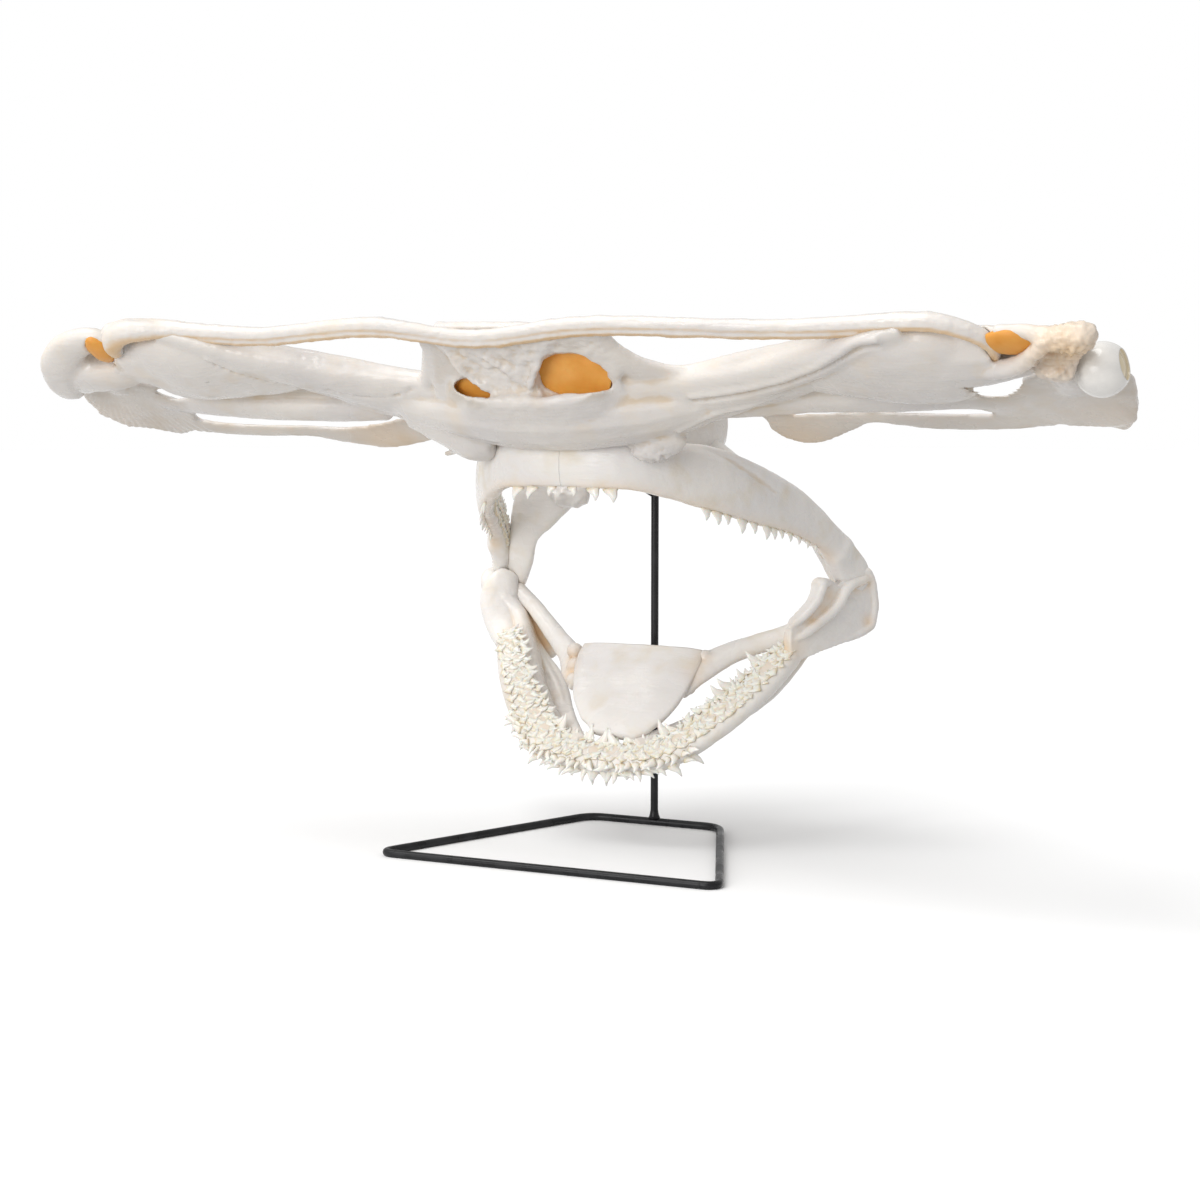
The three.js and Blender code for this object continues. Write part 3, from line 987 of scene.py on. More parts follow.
def surface_of(obj: Piece) -> BVHTree:
    """A tree of the faces of a mesh, to be looked at along a line."""
    places = [vertex.co for vertex in obj.data.vertices]
    return BVHTree.FromPolygons(places, [face.vertices for face in obj.data.polygons])


def note_thin(obj: Piece, limit: float) -> None:
    """Stores how thin the cartilage is behind each point of a skin.

    Args:
        obj: The closed mesh object.
        limit: Thickness in millimetres at which the edge looks as thick as the rest.
    """
    tree = surface_of(obj)
    values = []
    for vertex in obj.data.vertices:
        inward = -vertex.normal
        hit = tree.ray_cast(vertex.co + inward * 0.2 * MM, inward, 2 * limit * MM)[3]
        values.append(1 - min((hit or 1) / (limit * MM), 1))
    note(obj, "thin", np.array(values))


@dataclass
class Chondrocranium:
    """Braincase, wings and rear struts, grown together as one cartilage."""

    first_voxel: float = 1.8
    voxel: float = 1.3
    rounds: int = 5
    most_triangles: int = 195000
    plug_behind: float = 10.0
    plug_length: float = 34.0
    plate_under: float = 1.2
    plate_thick: float = 4.6
    large_window: Places = (
        (8, 1), (11, 8), (18, 14), (28, 16), (39, 14.5), (46.8, 5.1), (52, -4), (48.6, -10),
        (33, -14.5), (17, -13), (8, -7),
    )
    small_window: Places = (
        (-51, -7), (-43, -2.4), (-34, -3.1), (-29.5, -8.7), (-24.4, -15.6), (-27, -18), (-40, -18),
        (-49, -14),
    )
    flap: Places = (
        (-46, 40), (-42, 20), (-37, 7), (-26, -3.5), (-17.5, -11), (-4.5, -13), (6, -10.5), (8, -6), (7, 3),
        (13, 13), (24, 37),
    )
    corners: int = 60
    pleats: int = 90

    def on_wall(self, outline: Places, front: float, back: float, name: str) -> Piece:
        """A rounded slab on the front wall, from one distance in front of it to another."""
        corners = [WALL.at(*place, back) for place in rounded(outline, self.corners)]
        return slab(corners, WALL.at(0, 0, front) - WALL.at(0, 0, back), name)

    def window(self, outline: Places) -> Piece:
        """A plug that opens a hole in the front wall, cut from ahead and a little from the left.

        Args:
            outline: The edge of the hole, as places on the wall.

        Returns:
            The closed mesh object.
        """
        forward = MM * facing(Side.LEFT.way)
        back = forward * self.plug_behind
        corners = [WALL.at(*place) - back for place in rounded(outline, self.corners)]
        return slab(corners, forward * self.plug_length, "window_plug")

    def front_wall(self) -> list[Piece]:
        """The torn flap that hangs over the front wall, with its thick edges and folds.

        Returns:
            The closed mesh objects.
        """
        folds = (
            (
                (-43, 27, 4, 2), (-41, 18, 5, 2.4), (-36, 7, 6, 2.6), (-25.5, -3, 6.5, 2.4),
                (-17.5, -10, 6.5, 2.2),
            ),
            ((-17.5, -10, 6, 2), (-6.5, -12.5, 7.5, 2.6), (4.5, -10.5, 7.5, 2.6), (9.5, -6.5, 6, 2)),
            ((15, 16, 4, 2), (8.5, 7, 6, 2.4), (5, 0, 7, 2.4), (3, -6, 6, 2)),
            ((-30, 27, 4, 2), (-18, 17, 5.5, 2.2), (-6.5, 8, 5.5, 2.2), (0, -1, 5.5, 2)),
            ((-57, 28, -4, 3), (-58, 22, -3.5, 4), (-61, 13, -4, 5), (-65, 1, -5, 6), (-70, -9, -8, 7)),
        )
        parts = [self.on_wall(self.flap, 5.5, 0, "flap")]
        parts += [Loft(stations(WALL.at, path), UP, 16, 40).build("fold") for path in folds]
        return parts

    def web(self) -> Piece:
        """The skin that runs from the front wall down to the beam of the left wing.

        Returns:
            The closed mesh object.
        """
        path = (
            (47, 37, -2, 10), (51, 24, -2, 9), (58, 11, -3, 9.5), (70, 1, -5.5, 8.5), (86, -5, -8, 7),
            (106, -5, -9, 4),
        )
        band = [(WALL.at(*place), 3.2, wide) for *place, wide in path]
        return Loft(band, WALL.at(1, 1) - WALL.at(0, 0), 28, 60, 2.3).build("web")

    @staticmethod
    def strap() -> Piece:
        """The pale strap under the left nostril, from the nasal capsule up to the block at the eye.

        Returns:
            The closed mesh object.
        """
        path = (
            (262, 97, -7, 5), (281, 103, -10, 5.5), (293, 110, -10.5, 5), (303, 120, -9.5, 4.5),
            (311, 129, -7, 4.5),
        )
        return Loft(stations(DATUM.on_hammer, path), HAMMER_NORMAL, 24, 40).build("strap")

    def wing(self, side: Side) -> list[Piece]:
        """The forms that lie over the solid of one wing, each a row of stations on the hammer.

        Args:
            side: Which side of the animal.

        Returns:
            The closed mesh objects.
        """
        forms = {
            "beam": (
                (58, 52, -5, 32, 13), (84, 58, -3, 25, 10), (113, 69, -4, 21, 8.5), (140, 84, -5, 15, 7.5),
                (165, 97, -6, 13, 7), (190, 110, -6, 10, 6), (212, 122, -5, 8, 5), (235, 130, -2, 6, 4.5),
            ),
            "capsule": (
                (158, 76, 1, 10, 4), (175, 81, 0, 20, 8), (200, 90, -1, 30, 11.5), (225, 94, -2, 33, 13.5),
                (248, 95, -2, 32, 13), (266, 95, -1, 24, 10),
            ),
            "strip": (
                (120, 46, 0, 8, 4.5), (160, 47, 0, 8, 4.5), (205, 48, 0, 9, 4), (250, 48, 1, 8, 3.5),
                (285, 45, 1, 8, 3),
            ),
        }
        if side is Side.LEFT:
            forms["brow"] = (
                (282, 126, 0, 3.5, 3.5), (298, 127, -1, 4, 4), (311, 126, -4, 6, 6),
                (322, 126, -4.5, 8, 7.5), (330, 126, -3.5, 8, 7), (335, 125, -3, 4, 4),
            )
            forms["lump"] = ((300, 98, -8, 5, 4), (310, 99, -10, 6, 4.5), (317, 95, -9, 5, 4))
            forms["knob"] = (
                (50, 31, -18, 7, 4), (58, 29, -20.5, 10, 5), (68, 32, -20, 9, 5), (78, 38, -16, 7, 4),
            )
            forms["strut"] = (
                (34, -6, 44, 15, 9), (72, 1, 36, 12, 6), (104, 10, 20, 12, 4), (124, 28, 4, 9, 2.6),
                (140, 17, 0, 16, 2.2), (155, 19, 0, 14, 2.2), (172, 25, 0, 9.5, 2.2), (189, 30, 0, 5, 2.2),
                (221, 25, 0, 8, 2.2), (258, 24, 0, 8, 2.2), (290, 28, 1, 9, 2.6),
            )
        else:
            forms["strip"] = (
                (120, 40, -2, 8, 5), (160, 41, -3, 10, 5), (205, 42, -3, 10, 4.5), (250, 44, -2, 9, 4),
                (285, 45, 0, 8, 3),
            )
            forms["sheath"] = (
                (270, 122, -3, 3, 3), (284, 126, -3, 8, 6), (304, 121, -5, 11, 7), (320, 107, -9, 13, 8),
                (330, 89, -11, 12, 7), (334, 74, -10, 9, 6),
            )
            forms["cheek"] = (
                (276, 93, -5, 11, 8), (290, 92, -8, 12, 8), (306, 92, -9, 13, 8), (320, 92, -9, 10, 7),
            )
            forms["corner"] = (
                (46, 30, -19, 9, 7), (58, 31, -19, 14, 9), (76, 39, -14, 14, 8), (98, 48, -8, 12, 7),
            )
            forms["tag"] = (
                (60, 33, -19, 3, 3), (68, 28, -20, 2.4, 2.2), (76, 23, -20.5, 2.2, 2),
                (84, 20, -20.5, 2, 1.8),
            )
            forms["strut"] = (
                (34, -6, 44, 15, 9), (72, 1, 36, 12, 6), (94, 6, 20, 13, 4.5), (108, 12, 4, 14, 3.2),
                (124, 9, 1, 14, 2.6), (142, 5, 0, 14, 2.2), (158, 4.5, 0, 11.5, 2.2),
                (174, 6.5, 0, 8.5, 2.2), (195, 10.5, 0, 5.8, 2.2), (230, 10, 0, 6.5, 2.2),
                (262, 11, 1, 7, 2.2), (290, 18, 1, 9, 2.6),
            )
        bodies = [self.on_wing(side, name, path) for name, path in forms.items()]
        return [*bodies, self.plate(side)]

    def plate(self, side: Side) -> Piece:
        """The thin plate behind the eye, a slab in the plane of the hammer.

        Args:
            side: Which side of the animal.

        Returns:
            The closed mesh object.
        """
        outlines = {
            Side.LEFT: (
                (262, 52), (280, 68), (294, 79), (314, 79), (333, 76), (343, 73), (341, 50), (338, 34),
                (329, 14.5), (318, 20), (307, 26), (285, 19), (262, 18),
            ),
            Side.RIGHT: (
                (274, 58), (284, 66), (310, 74), (330, 70), (341, 60), (345, 37), (336, 15), (316, 11),
                (295, 4), (281, 12), (272, 26), (268, 44),
            ),
        }
        place = mirrored(side, DATUM.on_hammer)
        corners = [place(out, ahead, -self.plate_under) for out, ahead in rounded(outlines[side], 72)]
        return slab(corners, HAMMER_NORMAL * self.plate_thick * MM, "plate")

    @staticmethod
    def slit(side: Side) -> Piece:
        """A plug that opens the slit between the nasal capsule and the plate.

        Args:
            side: Which side of the animal.

        Returns:
            The closed mesh object.
        """
        first, last, ahead, rise = (252, 284, 60.5, 12) if side is Side.LEFT else (259, 284, 55, 5)
        path = []
        for share in (0, 0.3, 0.55, 0.8, 1):
            place = DATUM.on_hammer(side.way * (first + share * (last - first)), ahead + rise * share**3)
            path.append((place, 0.8 + 2.4 * math.sin(math.pi * share), 36))
        return Loft(path, Vector((0, -1, 0.1)), 24, 24).build("slit_plug")

    @staticmethod
    def on_wing(side: Side, name: str, path: Places) -> Piece:
        """A form of one wing, from its places on the hammer and its half sizes."""
        places = stations(mirrored(side, DATUM.on_hammer), path)
        return Loft(places, HAMMER_NORMAL, 36, 60, 2.3).build(name)

    @staticmethod
    def case() -> Piece:
        """The rounded box behind the brain, with the bulge of each ear.

        Returns:
            The closed mesh object.
        """
        path = (
            (0, 84, 272, 39, 30.5), (0, 60, 268, 36.5, 30.5), (0, 20, 262, 45.5, 30.5),
            (0, -10, 259, 46.5, 29.5), (0, -34, 256, 30, 22),
        )
        return Loft(stations(DATUM.at, path), UP, 72, 60, 2.6).build("case")

    def creases(self, cranium: Piece) -> tuple[list[Piece], list[Piece]]:
        """The furrows of the underside and the raised edges beside them, which follow the skin.

        Args:
            cranium: The skin that they follow.

        Returns:
            The furrows, to be cut out, and the edges, to be added.
        """
        tree = surface_of(cranium)
        furrows, edges = [], []
        lines = (
            (2.2, 4.5, ((222, 128), (209, 125), (192, 113), (170, 99), (145, 86), (118, 76), (96, 70))),
            (1.5, 3.5, ((80, 45), (106, 54), (129, 62), (150, 70))),
            (2.2, 4.5, (
                (-205, 112), (-190, 98), (-176, 84), (-149, 68), (-123, 52), (-103, 41), (-88, 28),
            )),
            (1.4, 0, ((-80, 78), (-100, 72), (-122, 74), (-140, 82))),
            (1.3, 0, ((268, 76), (282, 84), (286, 96))),
            (1.3, 0, ((-262, 70), (-278, 80), (-281, 98))),
        )
        for deep, offset, path in lines:
            for shapes, rise, size in ((furrows, 0.0, deep), (edges, offset, 3.0)):
                if shapes is edges and not offset:
                    continue
                sink = 0.3 if shapes is furrows else 1.6
                line = []
                for out, ahead in path:
                    start = DATUM.on_hammer(out, ahead + rise, -60)
                    hit = tree.ray_cast(start, HAMMER_NORMAL)[0] or DATUM.on_hammer(out, ahead + rise, -5)
                    line.append((hit + HAMMER_NORMAL * sink * MM, size, size))
                shapes.append(Loft(line, HAMMER_NORMAL, 16, 60).build("crease"))
        return furrows, edges

    def build(self) -> Piece:
        """Joins the frame's solids and the details into one skin and opens the holes.

        Returns:
            The skin, with the values that its finish reads.
        """
        parts = [node_copy(node) for node in ("braincase", "front_wall", "wing_left", "wing_right")]
        parts += [self.web(), self.case()]
        parts += [form for side in Side for form in self.wing(side)]
        cranium = fuse(parts, "chondrocranium", self.first_voxel, 2)
        furrows, edges = self.creases(cranium)
        plugs = [self.window(outline) for outline in (self.large_window, self.small_window)]
        plugs += [Nostril(side).pocket() for side in Side]
        plugs.append(egg(DATUM.at(0, -42, 258), (9, 14, 9), "foramen_plug"))
        slits = [self.slit(side) for side in Side]
        for cutter in (joined(plugs, "plugs"), *furrows, *slits, Eye(Side.LEFT).orbit()):
            carve(cranium, cutter)
        parts = [cranium, self.strap(), *self.front_wall(), *edges]
        cranium = fuse(parts, "chondrocranium", self.voxel, self.rounds)
        self.pleat(cranium)
        roughen(cranium, 14, 1.0)
        roughen(cranium, 5, 3.5, self.torn())
        roughen(cranium, 3, 7, self.crumbled())
        self.thin_out(cranium)
        note_relief(cranium)
        note_thin(cranium, 10)
        note(cranium, "amber", nearness(cranium, self.blushes()))
        return cranium

    def torn(self) -> list[Spot]:
        """Places where the front wall is torn into fibres.

        Returns:
            The spots, each with its size and strength.
        """
        spots = [(WALL.at(out, rise, 5), 13, 0.6) for out in (-33, -15, 3) for rise in (-6, 10, 25)]
        spots += [(WALL.at(out, 24, 3), 12, 0.5) for out in (18, 36, 52)]
        return spots

    @staticmethod
    def crumbled() -> list[Spot]:
        """Places where the cartilage has crumbled: under the ethmoid and in front of the left eye.

        Returns:
            The spots, each with its size and strength.
        """
        spots = [(DATUM.on_hammer(62, 28, -26), 12, 0.7), (DATUM.at(84, 113, 257), 12, 0.5)]
        spots += [(DATUM.on_hammer(310, 104, -12), 14, 0.8), (DATUM.on_hammer(321, 124, -10), 15, 1.0)]
        return spots

    @staticmethod
    def blushes() -> list[Spot]:
        """Places where the cartilage is yellower: at the eyes, on the rear struts and under the ethmoid.

        Returns:
            The spots, each with its size and strength.
        """
        spots = [
            (DATUM.on_hammer(320, 120, -10), 19, 0.6),
            (DATUM.on_hammer(302, 104, -12), 10, 0.12),
            (DATUM.on_hammer(-286, 108, -12), 12, 0.1),
        ]
        for side in Side:
            spots.append((DATUM.on_hammer(side.way * 138, 4, 3), 24, 0.28))
            spots.append((DATUM.on_hammer(side.way * 330, 30, 1), 24, 0.1))
            spots.append((DATUM.at(side.way * 84, 113, 257), 12, 0.4))
        return spots

    def pleat(self, cranium: Piece) -> None:
        """Folds the thin plates behind the eyes into rays that spread from the eye.

        Args:
            cranium: The fused skin.
        """
        ahead_way = np.array((DATUM.on_hammer(0, 81) - DATUM.on_hammer(0, 80)).normalized())
        places = points_of(cranium)
        for side in Side:
            arms = (places - np.array(DATUM.on_hammer(side.way * (side.eye_out - 15), 84))) / MM
            behind = -arms @ ahead_way - 14
            outside = (places[:, 0] - DATUM.on_hammer(side.way * 268, 84).x) * side.way > 0
            rays = np.sin(self.pleats * np.arctan2(arms[:, 0], behind + 14))
            depth = (0.1 if side is Side.LEFT else 0.25) * MM * np.clip(behind / 14, 0, 1) * outside
            places += (depth * rays)[:, None] * np.array(HAMMER_NORMAL)
        cranium.data.vertices.foreach_set("co", places.astype(np.float32).ravel())
        cranium.data.update()

    def thin_out(self, cranium: Piece) -> None:
        """Lowers the count of triangles to the limit."""
        triangles = sum(len(face.vertices) - 2 for face in cranium.data.polygons)
        apply_modifier(cranium, "DECIMATE", ratio=min(self.most_triangles / triangles, 1.0))

    @staticmethod
    def nodes() -> list[str]:
        """Names of the frame's nodes that this piece stands for."""
        paired = [f"{part}_{side.value}" for part in ("wing", "postorbital") for side in Side]
        return ["braincase", "front_wall", *paired]

    def dress(self) -> Piece:
        """Builds the piece and gives it its finish."""
        # The hammer's darker copy of the cartilage: partly greyer cartilage, partly painted shade.
        finish = CartilageFinish.greyed_and_shaded("bleached_cartilage")
        return settle(self.build(), finish.make(), "cartilage", *self.nodes())


@dataclass
class Nostril:
    """The pocket of one nostril, with its orange lining."""

    side: Side
    ahead: float = 120.0
    pocket_above: float = -12.0
    pocket_tall: float = 11.0
    lining_tall: float = 4.5

    def sizes(self) -> Triple:
        """Distance out, half width and half depth, in millimetres: the right one has dried to a slit."""
        return (290, 16, 10) if self.side is Side.LEFT else (282, 8, 13)

    def lens(self, above: float, tall: float, name: str) -> Piece:
        """A flat egg in the plane of the hammer, at a height above it.

        Args:
            above: Height above the plane, in millimetres.
            tall: Half height of the egg.
            name: Name of the new object.

        Returns:
            The closed mesh object.
        """
        out, wide, deep = self.sizes()
        lump = egg(Vector(), (wide, deep, tall), name)
        place = Matrix.Translation(DATUM.on_hammer(self.side.way * out, self.ahead, above))
        lump.data.transform(place @ Matrix.Rotation(-HAMMER_TILT, 4, "X"))
        return lump

    def pocket(self) -> Piece:
        """The plug that opens the pocket in the wing."""
        return self.lens(self.pocket_above, self.pocket_tall, "nostril_plug")

    def dress(self, material: Material) -> Piece:
        """Builds the lining and gives it its finish.

        Args:
            material: Its finish.

        Returns:
            The finished lining.
        """
        above = -3.2 if self.side is Side.LEFT else -7
        lining = self.lens(above, self.lining_tall, f"nostril_lining_{self.side.value}")
        roughen(lining, 6, 1.5)
        return settle(lining, material, "cartilage")


@dataclass
class Lining:
    """The orange membrane inside the braincase, seen through the openings of the front wall."""

    def build(self) -> Piece:
        """Sweeps a thin sheet across the cavity, behind the wall.

        Returns:
            The closed mesh object.
        """
        path = (
            (-51, -9, -1, 6), (-42, -10, 0.5, 10), (-20, -8, -1, 14), (8, 0, -1.5, 19), (30, 1, -1.5, 19),
            (44, -1, -1.5, 15), (52, -4, -1, 10),
        )
        sheet = [(WALL.at(*place), 1.5, tall) for *place, tall in path]
        return Loft(sheet, WALL.at(0, 1, -0.25) - WALL.at(0, 0), 32, 60).build("brain_lining")

    def dress(self, material: Material) -> Piece:
        """Builds the lining and gives it its finish."""
        return settle(self.build(), material, "cartilage")


@dataclass
class RostralBar:
    """The front rim of the hammer."""

    voxel: float = 1.0
    rounds: int = 10

    def dress(self) -> Piece:
        """Builds the bar and gives it its finish.

        Returns:
            The finished bar.
        """
        path = (
            (-212, 130, -1, 2.5), (-230, 133, -2, 5), (-247, 136, -4, 6.8), (-260, 134, -5.5, 7.5),
            (-268, 127, -7, 6.5), (-271, 117, -8, 4),
        )
        curl = Loft(stations(DATUM.on_hammer, path), HAMMER_NORMAL, 24, 40).build("curl")
        bar = fuse([node_copy("rostral_bar"), curl], "rostral_rim", self.voxel, self.rounds)
        carve(bar, Nostril(Side.RIGHT).pocket())
        roughen(bar, 16, 1.0)
        roughen(bar, 5, 0.6)
        note_relief(bar)
        # Amber on the faces that turn down: partly painted shade on the bar's underside, partly the ochre
        # line along its lower edge.
        downward = np.array([-vertex.normal.z for vertex in bar.data.vertices])
        note(bar, "amber", 0.6 * np.clip((downward - 0.45) / 0.4, 0, 1))
        # The bar takes the hammer's darker copy of the cartilage, which is partly painted shade.
        return settle(bar, CartilageFinish.greyed_and_shaded("bar_cartilage").make(), "cartilage", "rostral_bar")


@dataclass(frozen=True)
class Tooth:
    """One tooth of unit height, with its widths as shares of the height."""

    width: float
    thick: float
    lean: float

    def build(self) -> Piece:
        """Shapes a cone: it is flattened, waisted below the tip, and its tip is leant over.

        Returns:
            The tooth, with its root at the origin.
        """
        cone = {"vertices": 8, "radius1": 0.5, "radius2": 0.04, "depth": 1, "location": (0, 0, 0.5)}
        tooth = primitive(bpy.ops.mesh.primitive_cone_add, "tooth", **cone)
        bpy.ops.object.transform_apply(location=True, rotation=False, scale=False)
        with editing(tooth):
            bpy.ops.transform.resize(value=(self.width, self.thick, 1), center_override=(0, 0, 0))
            bpy.ops.mesh.select_all(action="SELECT")
            bpy.ops.mesh.bisect(plane_co=(0, 0, 0.22), plane_no=(0, 0, 1))
            bpy.ops.transform.resize(value=(0.98, 1.2, 1), center_override=(0, 0, 0))
            bpy.ops.mesh.select_all(action="SELECT")
            bpy.ops.mesh.bisect(plane_co=(0, 0, 0.6), plane_no=(0, 0, 1))
            bpy.ops.transform.resize(value=(0.95, 1.3, 1), center_override=(0, 0, 0))
            bpy.ops.transform.translate(value=(0.25 * self.lean, 0, 0))
        for vertex in tooth.data.vertices:
            vertex.select = vertex.co.z > 0.9
        with editing(tooth, everything=False):
            bpy.ops.transform.translate(value=(self.lean, 0, 0))
        note(tooth, "root", np.clip(1 - points_of(tooth)[:, 2] / 0.35, 0, 1))
        return tooth


@dataclass
class ToothRow:
    """Teeth of one shape, collected on a jaw and joined at the end."""

    shape: Tooth
    name: str
    copies: list[Piece] = field(default_factory=list)

    def __post_init__(self) -> None:
        """Models the first tooth."""
        self.model = self.shape.build()

    def seat(self, root: Vector, axis: Vector, face: Vector, height: float) -> None:
        """Sets one tooth.

        Args:
            root: Where it leaves the gum.
            axis: Where its tip points.
            face: What its flat side faces.
            height: Its height in millimetres.
        """
        up = axis.normalized()
        side = face.cross(up).normalized()
        turn = Matrix((side, up.cross(side), up)).transposed().to_4x4()
        mesh = self.model.data.copy()
        mesh.transform(Matrix.Translation(root) @ turn @ Matrix.Scale(height * MM, 4))
        copy = bpy.data.objects.new(self.name, mesh)
        bpy.context.scene.collection.objects.link(copy)
        self.copies.append(copy)

    def collect(self) -> list[Piece]:
        """Puts the model away and hands over the copies."""
        bpy.data.objects.remove(self.model)
        return self.copies


@dataclass
class JawHalf:
    """What a half of either jaw has: its place beside the symphysis, its skin and its teeth."""

    jaw: ClassVar[str]
    side: Side
    shift: float = 2.0
    gap: float = 0.15

    def at(self, out: float, fore: float, up: float) -> Vector:
        """A place on this side of the jaw."""
        return DATUM.at(self.shift + self.side.way * out, fore, up)

    def trim(self, skin: Piece) -> None:
        """Cuts a skin off flat at the symphysis.

        Args:
            skin: The skin to cut.
        """
        with editing(skin):
            cut = {"plane_co": self.at(self.gap, 0, 0), "plane_no": (-self.side.way, 0, 0)}
            bpy.ops.mesh.bisect(**cut, use_fill=True, clear_outer=True)

    def body(self) -> Piece:
        """The cartilage of the half."""
        raise NotImplementedError

    def teeth(self) -> Piece:
        """The teeth of the half."""
        raise NotImplementedError

    def dress(self, cartilage: Material, enamel: Material) -> None:
        """Builds the half and its teeth and gives them their finishes."""
        settle(self.body(), cartilage, "jaw_cartilage", f"{self.jaw}_jaw_{self.side.value}")
        settle(self.teeth(), enamel, "jaw_cartilage")


@dataclass
class UpperJaw(JawHalf):
    """One half of the upper jaw, with its teeth."""

    jaw: ClassVar[str] = "upper"
    arch: Places = (
        (-12, 138, 226, 252, 6),
        (25, 136, 225, 253, 6),
        (47, 126, 223, 252, 6.5),
        (72, 97, 213, 250, 6.5),
        (92, 63, 202, 237, 6.5),
        (106, 30, 193, 221, 6.5),
        (117, 0, 179, 199, 7),
        (124, -18, 158, 183, 7.5),
        (129, -28, 150, 168, 6),
    )
    front_row: Places = (
        (0.06, 5), (0.105, 7), (0.15, 7.5), (0.395, 6), (0.42, 7), (0.445, 5), (0.48, 7.5), (0.51, 5.5),
        (0.545, 7), (0.565, 6), (0.59, 4.5), (0.62, 4.5), (0.65, 4), (0.68, 3.5), (0.71, 3),
    )
    inner_rows: tuple[float, ...] = (-0.72, -0.35, 0.0)
    seed: int = 5

    def loft(self) -> Loft:
        """The cartilage of the jaw, a tall blade that bends back from the symphysis.

        Returns:
            The loft, before it is built.
        """
        path = []
        for out, fore, low, high, wide in self.arch:
            path.append((self.at(out, fore, (low + high) / 2), wide, (high - low) / 2))
        return Loft(path, UP, 56, 150, 2.5, relief=self.relief)

    def labial(self, angle: float) -> float:
        """Degrees round the section from the outer face, 90 at the upper edge and -90 at the lower."""
        return math.degrees(math.atan2(math.sin(angle), -self.side.way * math.cos(angle)))

    def relief(self, share: float, angle: float) -> float:
        """Height in millimetres of the groove, the step at the joint and the swollen gum.

        Args:
            share: Place along the path, from 0 to 1.
            angle: Turn round the section, in radians.

        Returns:
            The height, below zero in the groove.
        """
        turn = self.labial(angle)
        groove_at = 62 - 260 * (share - 0.34)
        groove = -1.8 * bump(turn, groove_at, 12) * bump(share, 0.46, 0.1)
        step = 1.6 * bump(share, 0.8, 0.02) - 1.2 * bump(share, 0.86, 0.04)
        gum = 0.9 * bump(turn, -60, 16) + 0.7 * bump(turn, -120, 18)
        return groove + step * bump(turn, 0, 60) + gum * bump(share, 0.3, 0.42)

    def body(self) -> Piece:
        """Builds the blade and trims it at the symphysis.

        Returns:
            The closed mesh object.
        """
        jaw = self.loft().build(f"upper_jaw_{self.side.value}_skin")
        self.trim(jaw)
        roughen(jaw, 10, 0.8)
        note_relief(jaw, 6, 0.4)
        gum = [self.loft().section(0.02 * i).place(-0.3 * self.side.way, -1) for i in range(3, 40)]
        note(jaw, "amber", nearness(jaw, [(place, 5, 0.13) for place in gum]))
        return jaw

    def teeth(self) -> Piece:
        """Sets the cutting row and the folded rows behind it.

        Returns:
            All the teeth as one object.
        """
        draw = random.Random(self.seed)
        loft = self.loft()
        way = self.side.way
        row = ToothRow(Tooth(1.2, 0.35, 0.15 * way), f"upper_teeth_{self.side.value}")
        for share, height in self.front_row:
            section = loft.section(share)
            outer = section.across * -way
            axis = -section.along + outer * draw.uniform(0.1, 0.3)
            axis += section.tangent * draw.uniform(-0.05, 0.15)
            row.seat(section.place(-0.35 * way, -0.98), axis, outer, height + 1)
        for share in loft.spread(0.1, 0.78, 4.2):
            section = loft.section(share)
            inner = section.across * way
            for along in self.inner_rows:
                flat = math.sqrt(max(1 - abs(along) ** 2.5, 0.0)) ** 0.8
                axis = section.along * draw.uniform(0.7, 1) + section.tangent * draw.uniform(0, 0.7)
                axis += inner * 0.3
                place = section.place(way * (flat + 0.05), along + draw.uniform(-0.06, 0.06))
                row.seat(place, axis, inner, draw.uniform(4.5, 6))
        return joined(row.collect(), row.name)


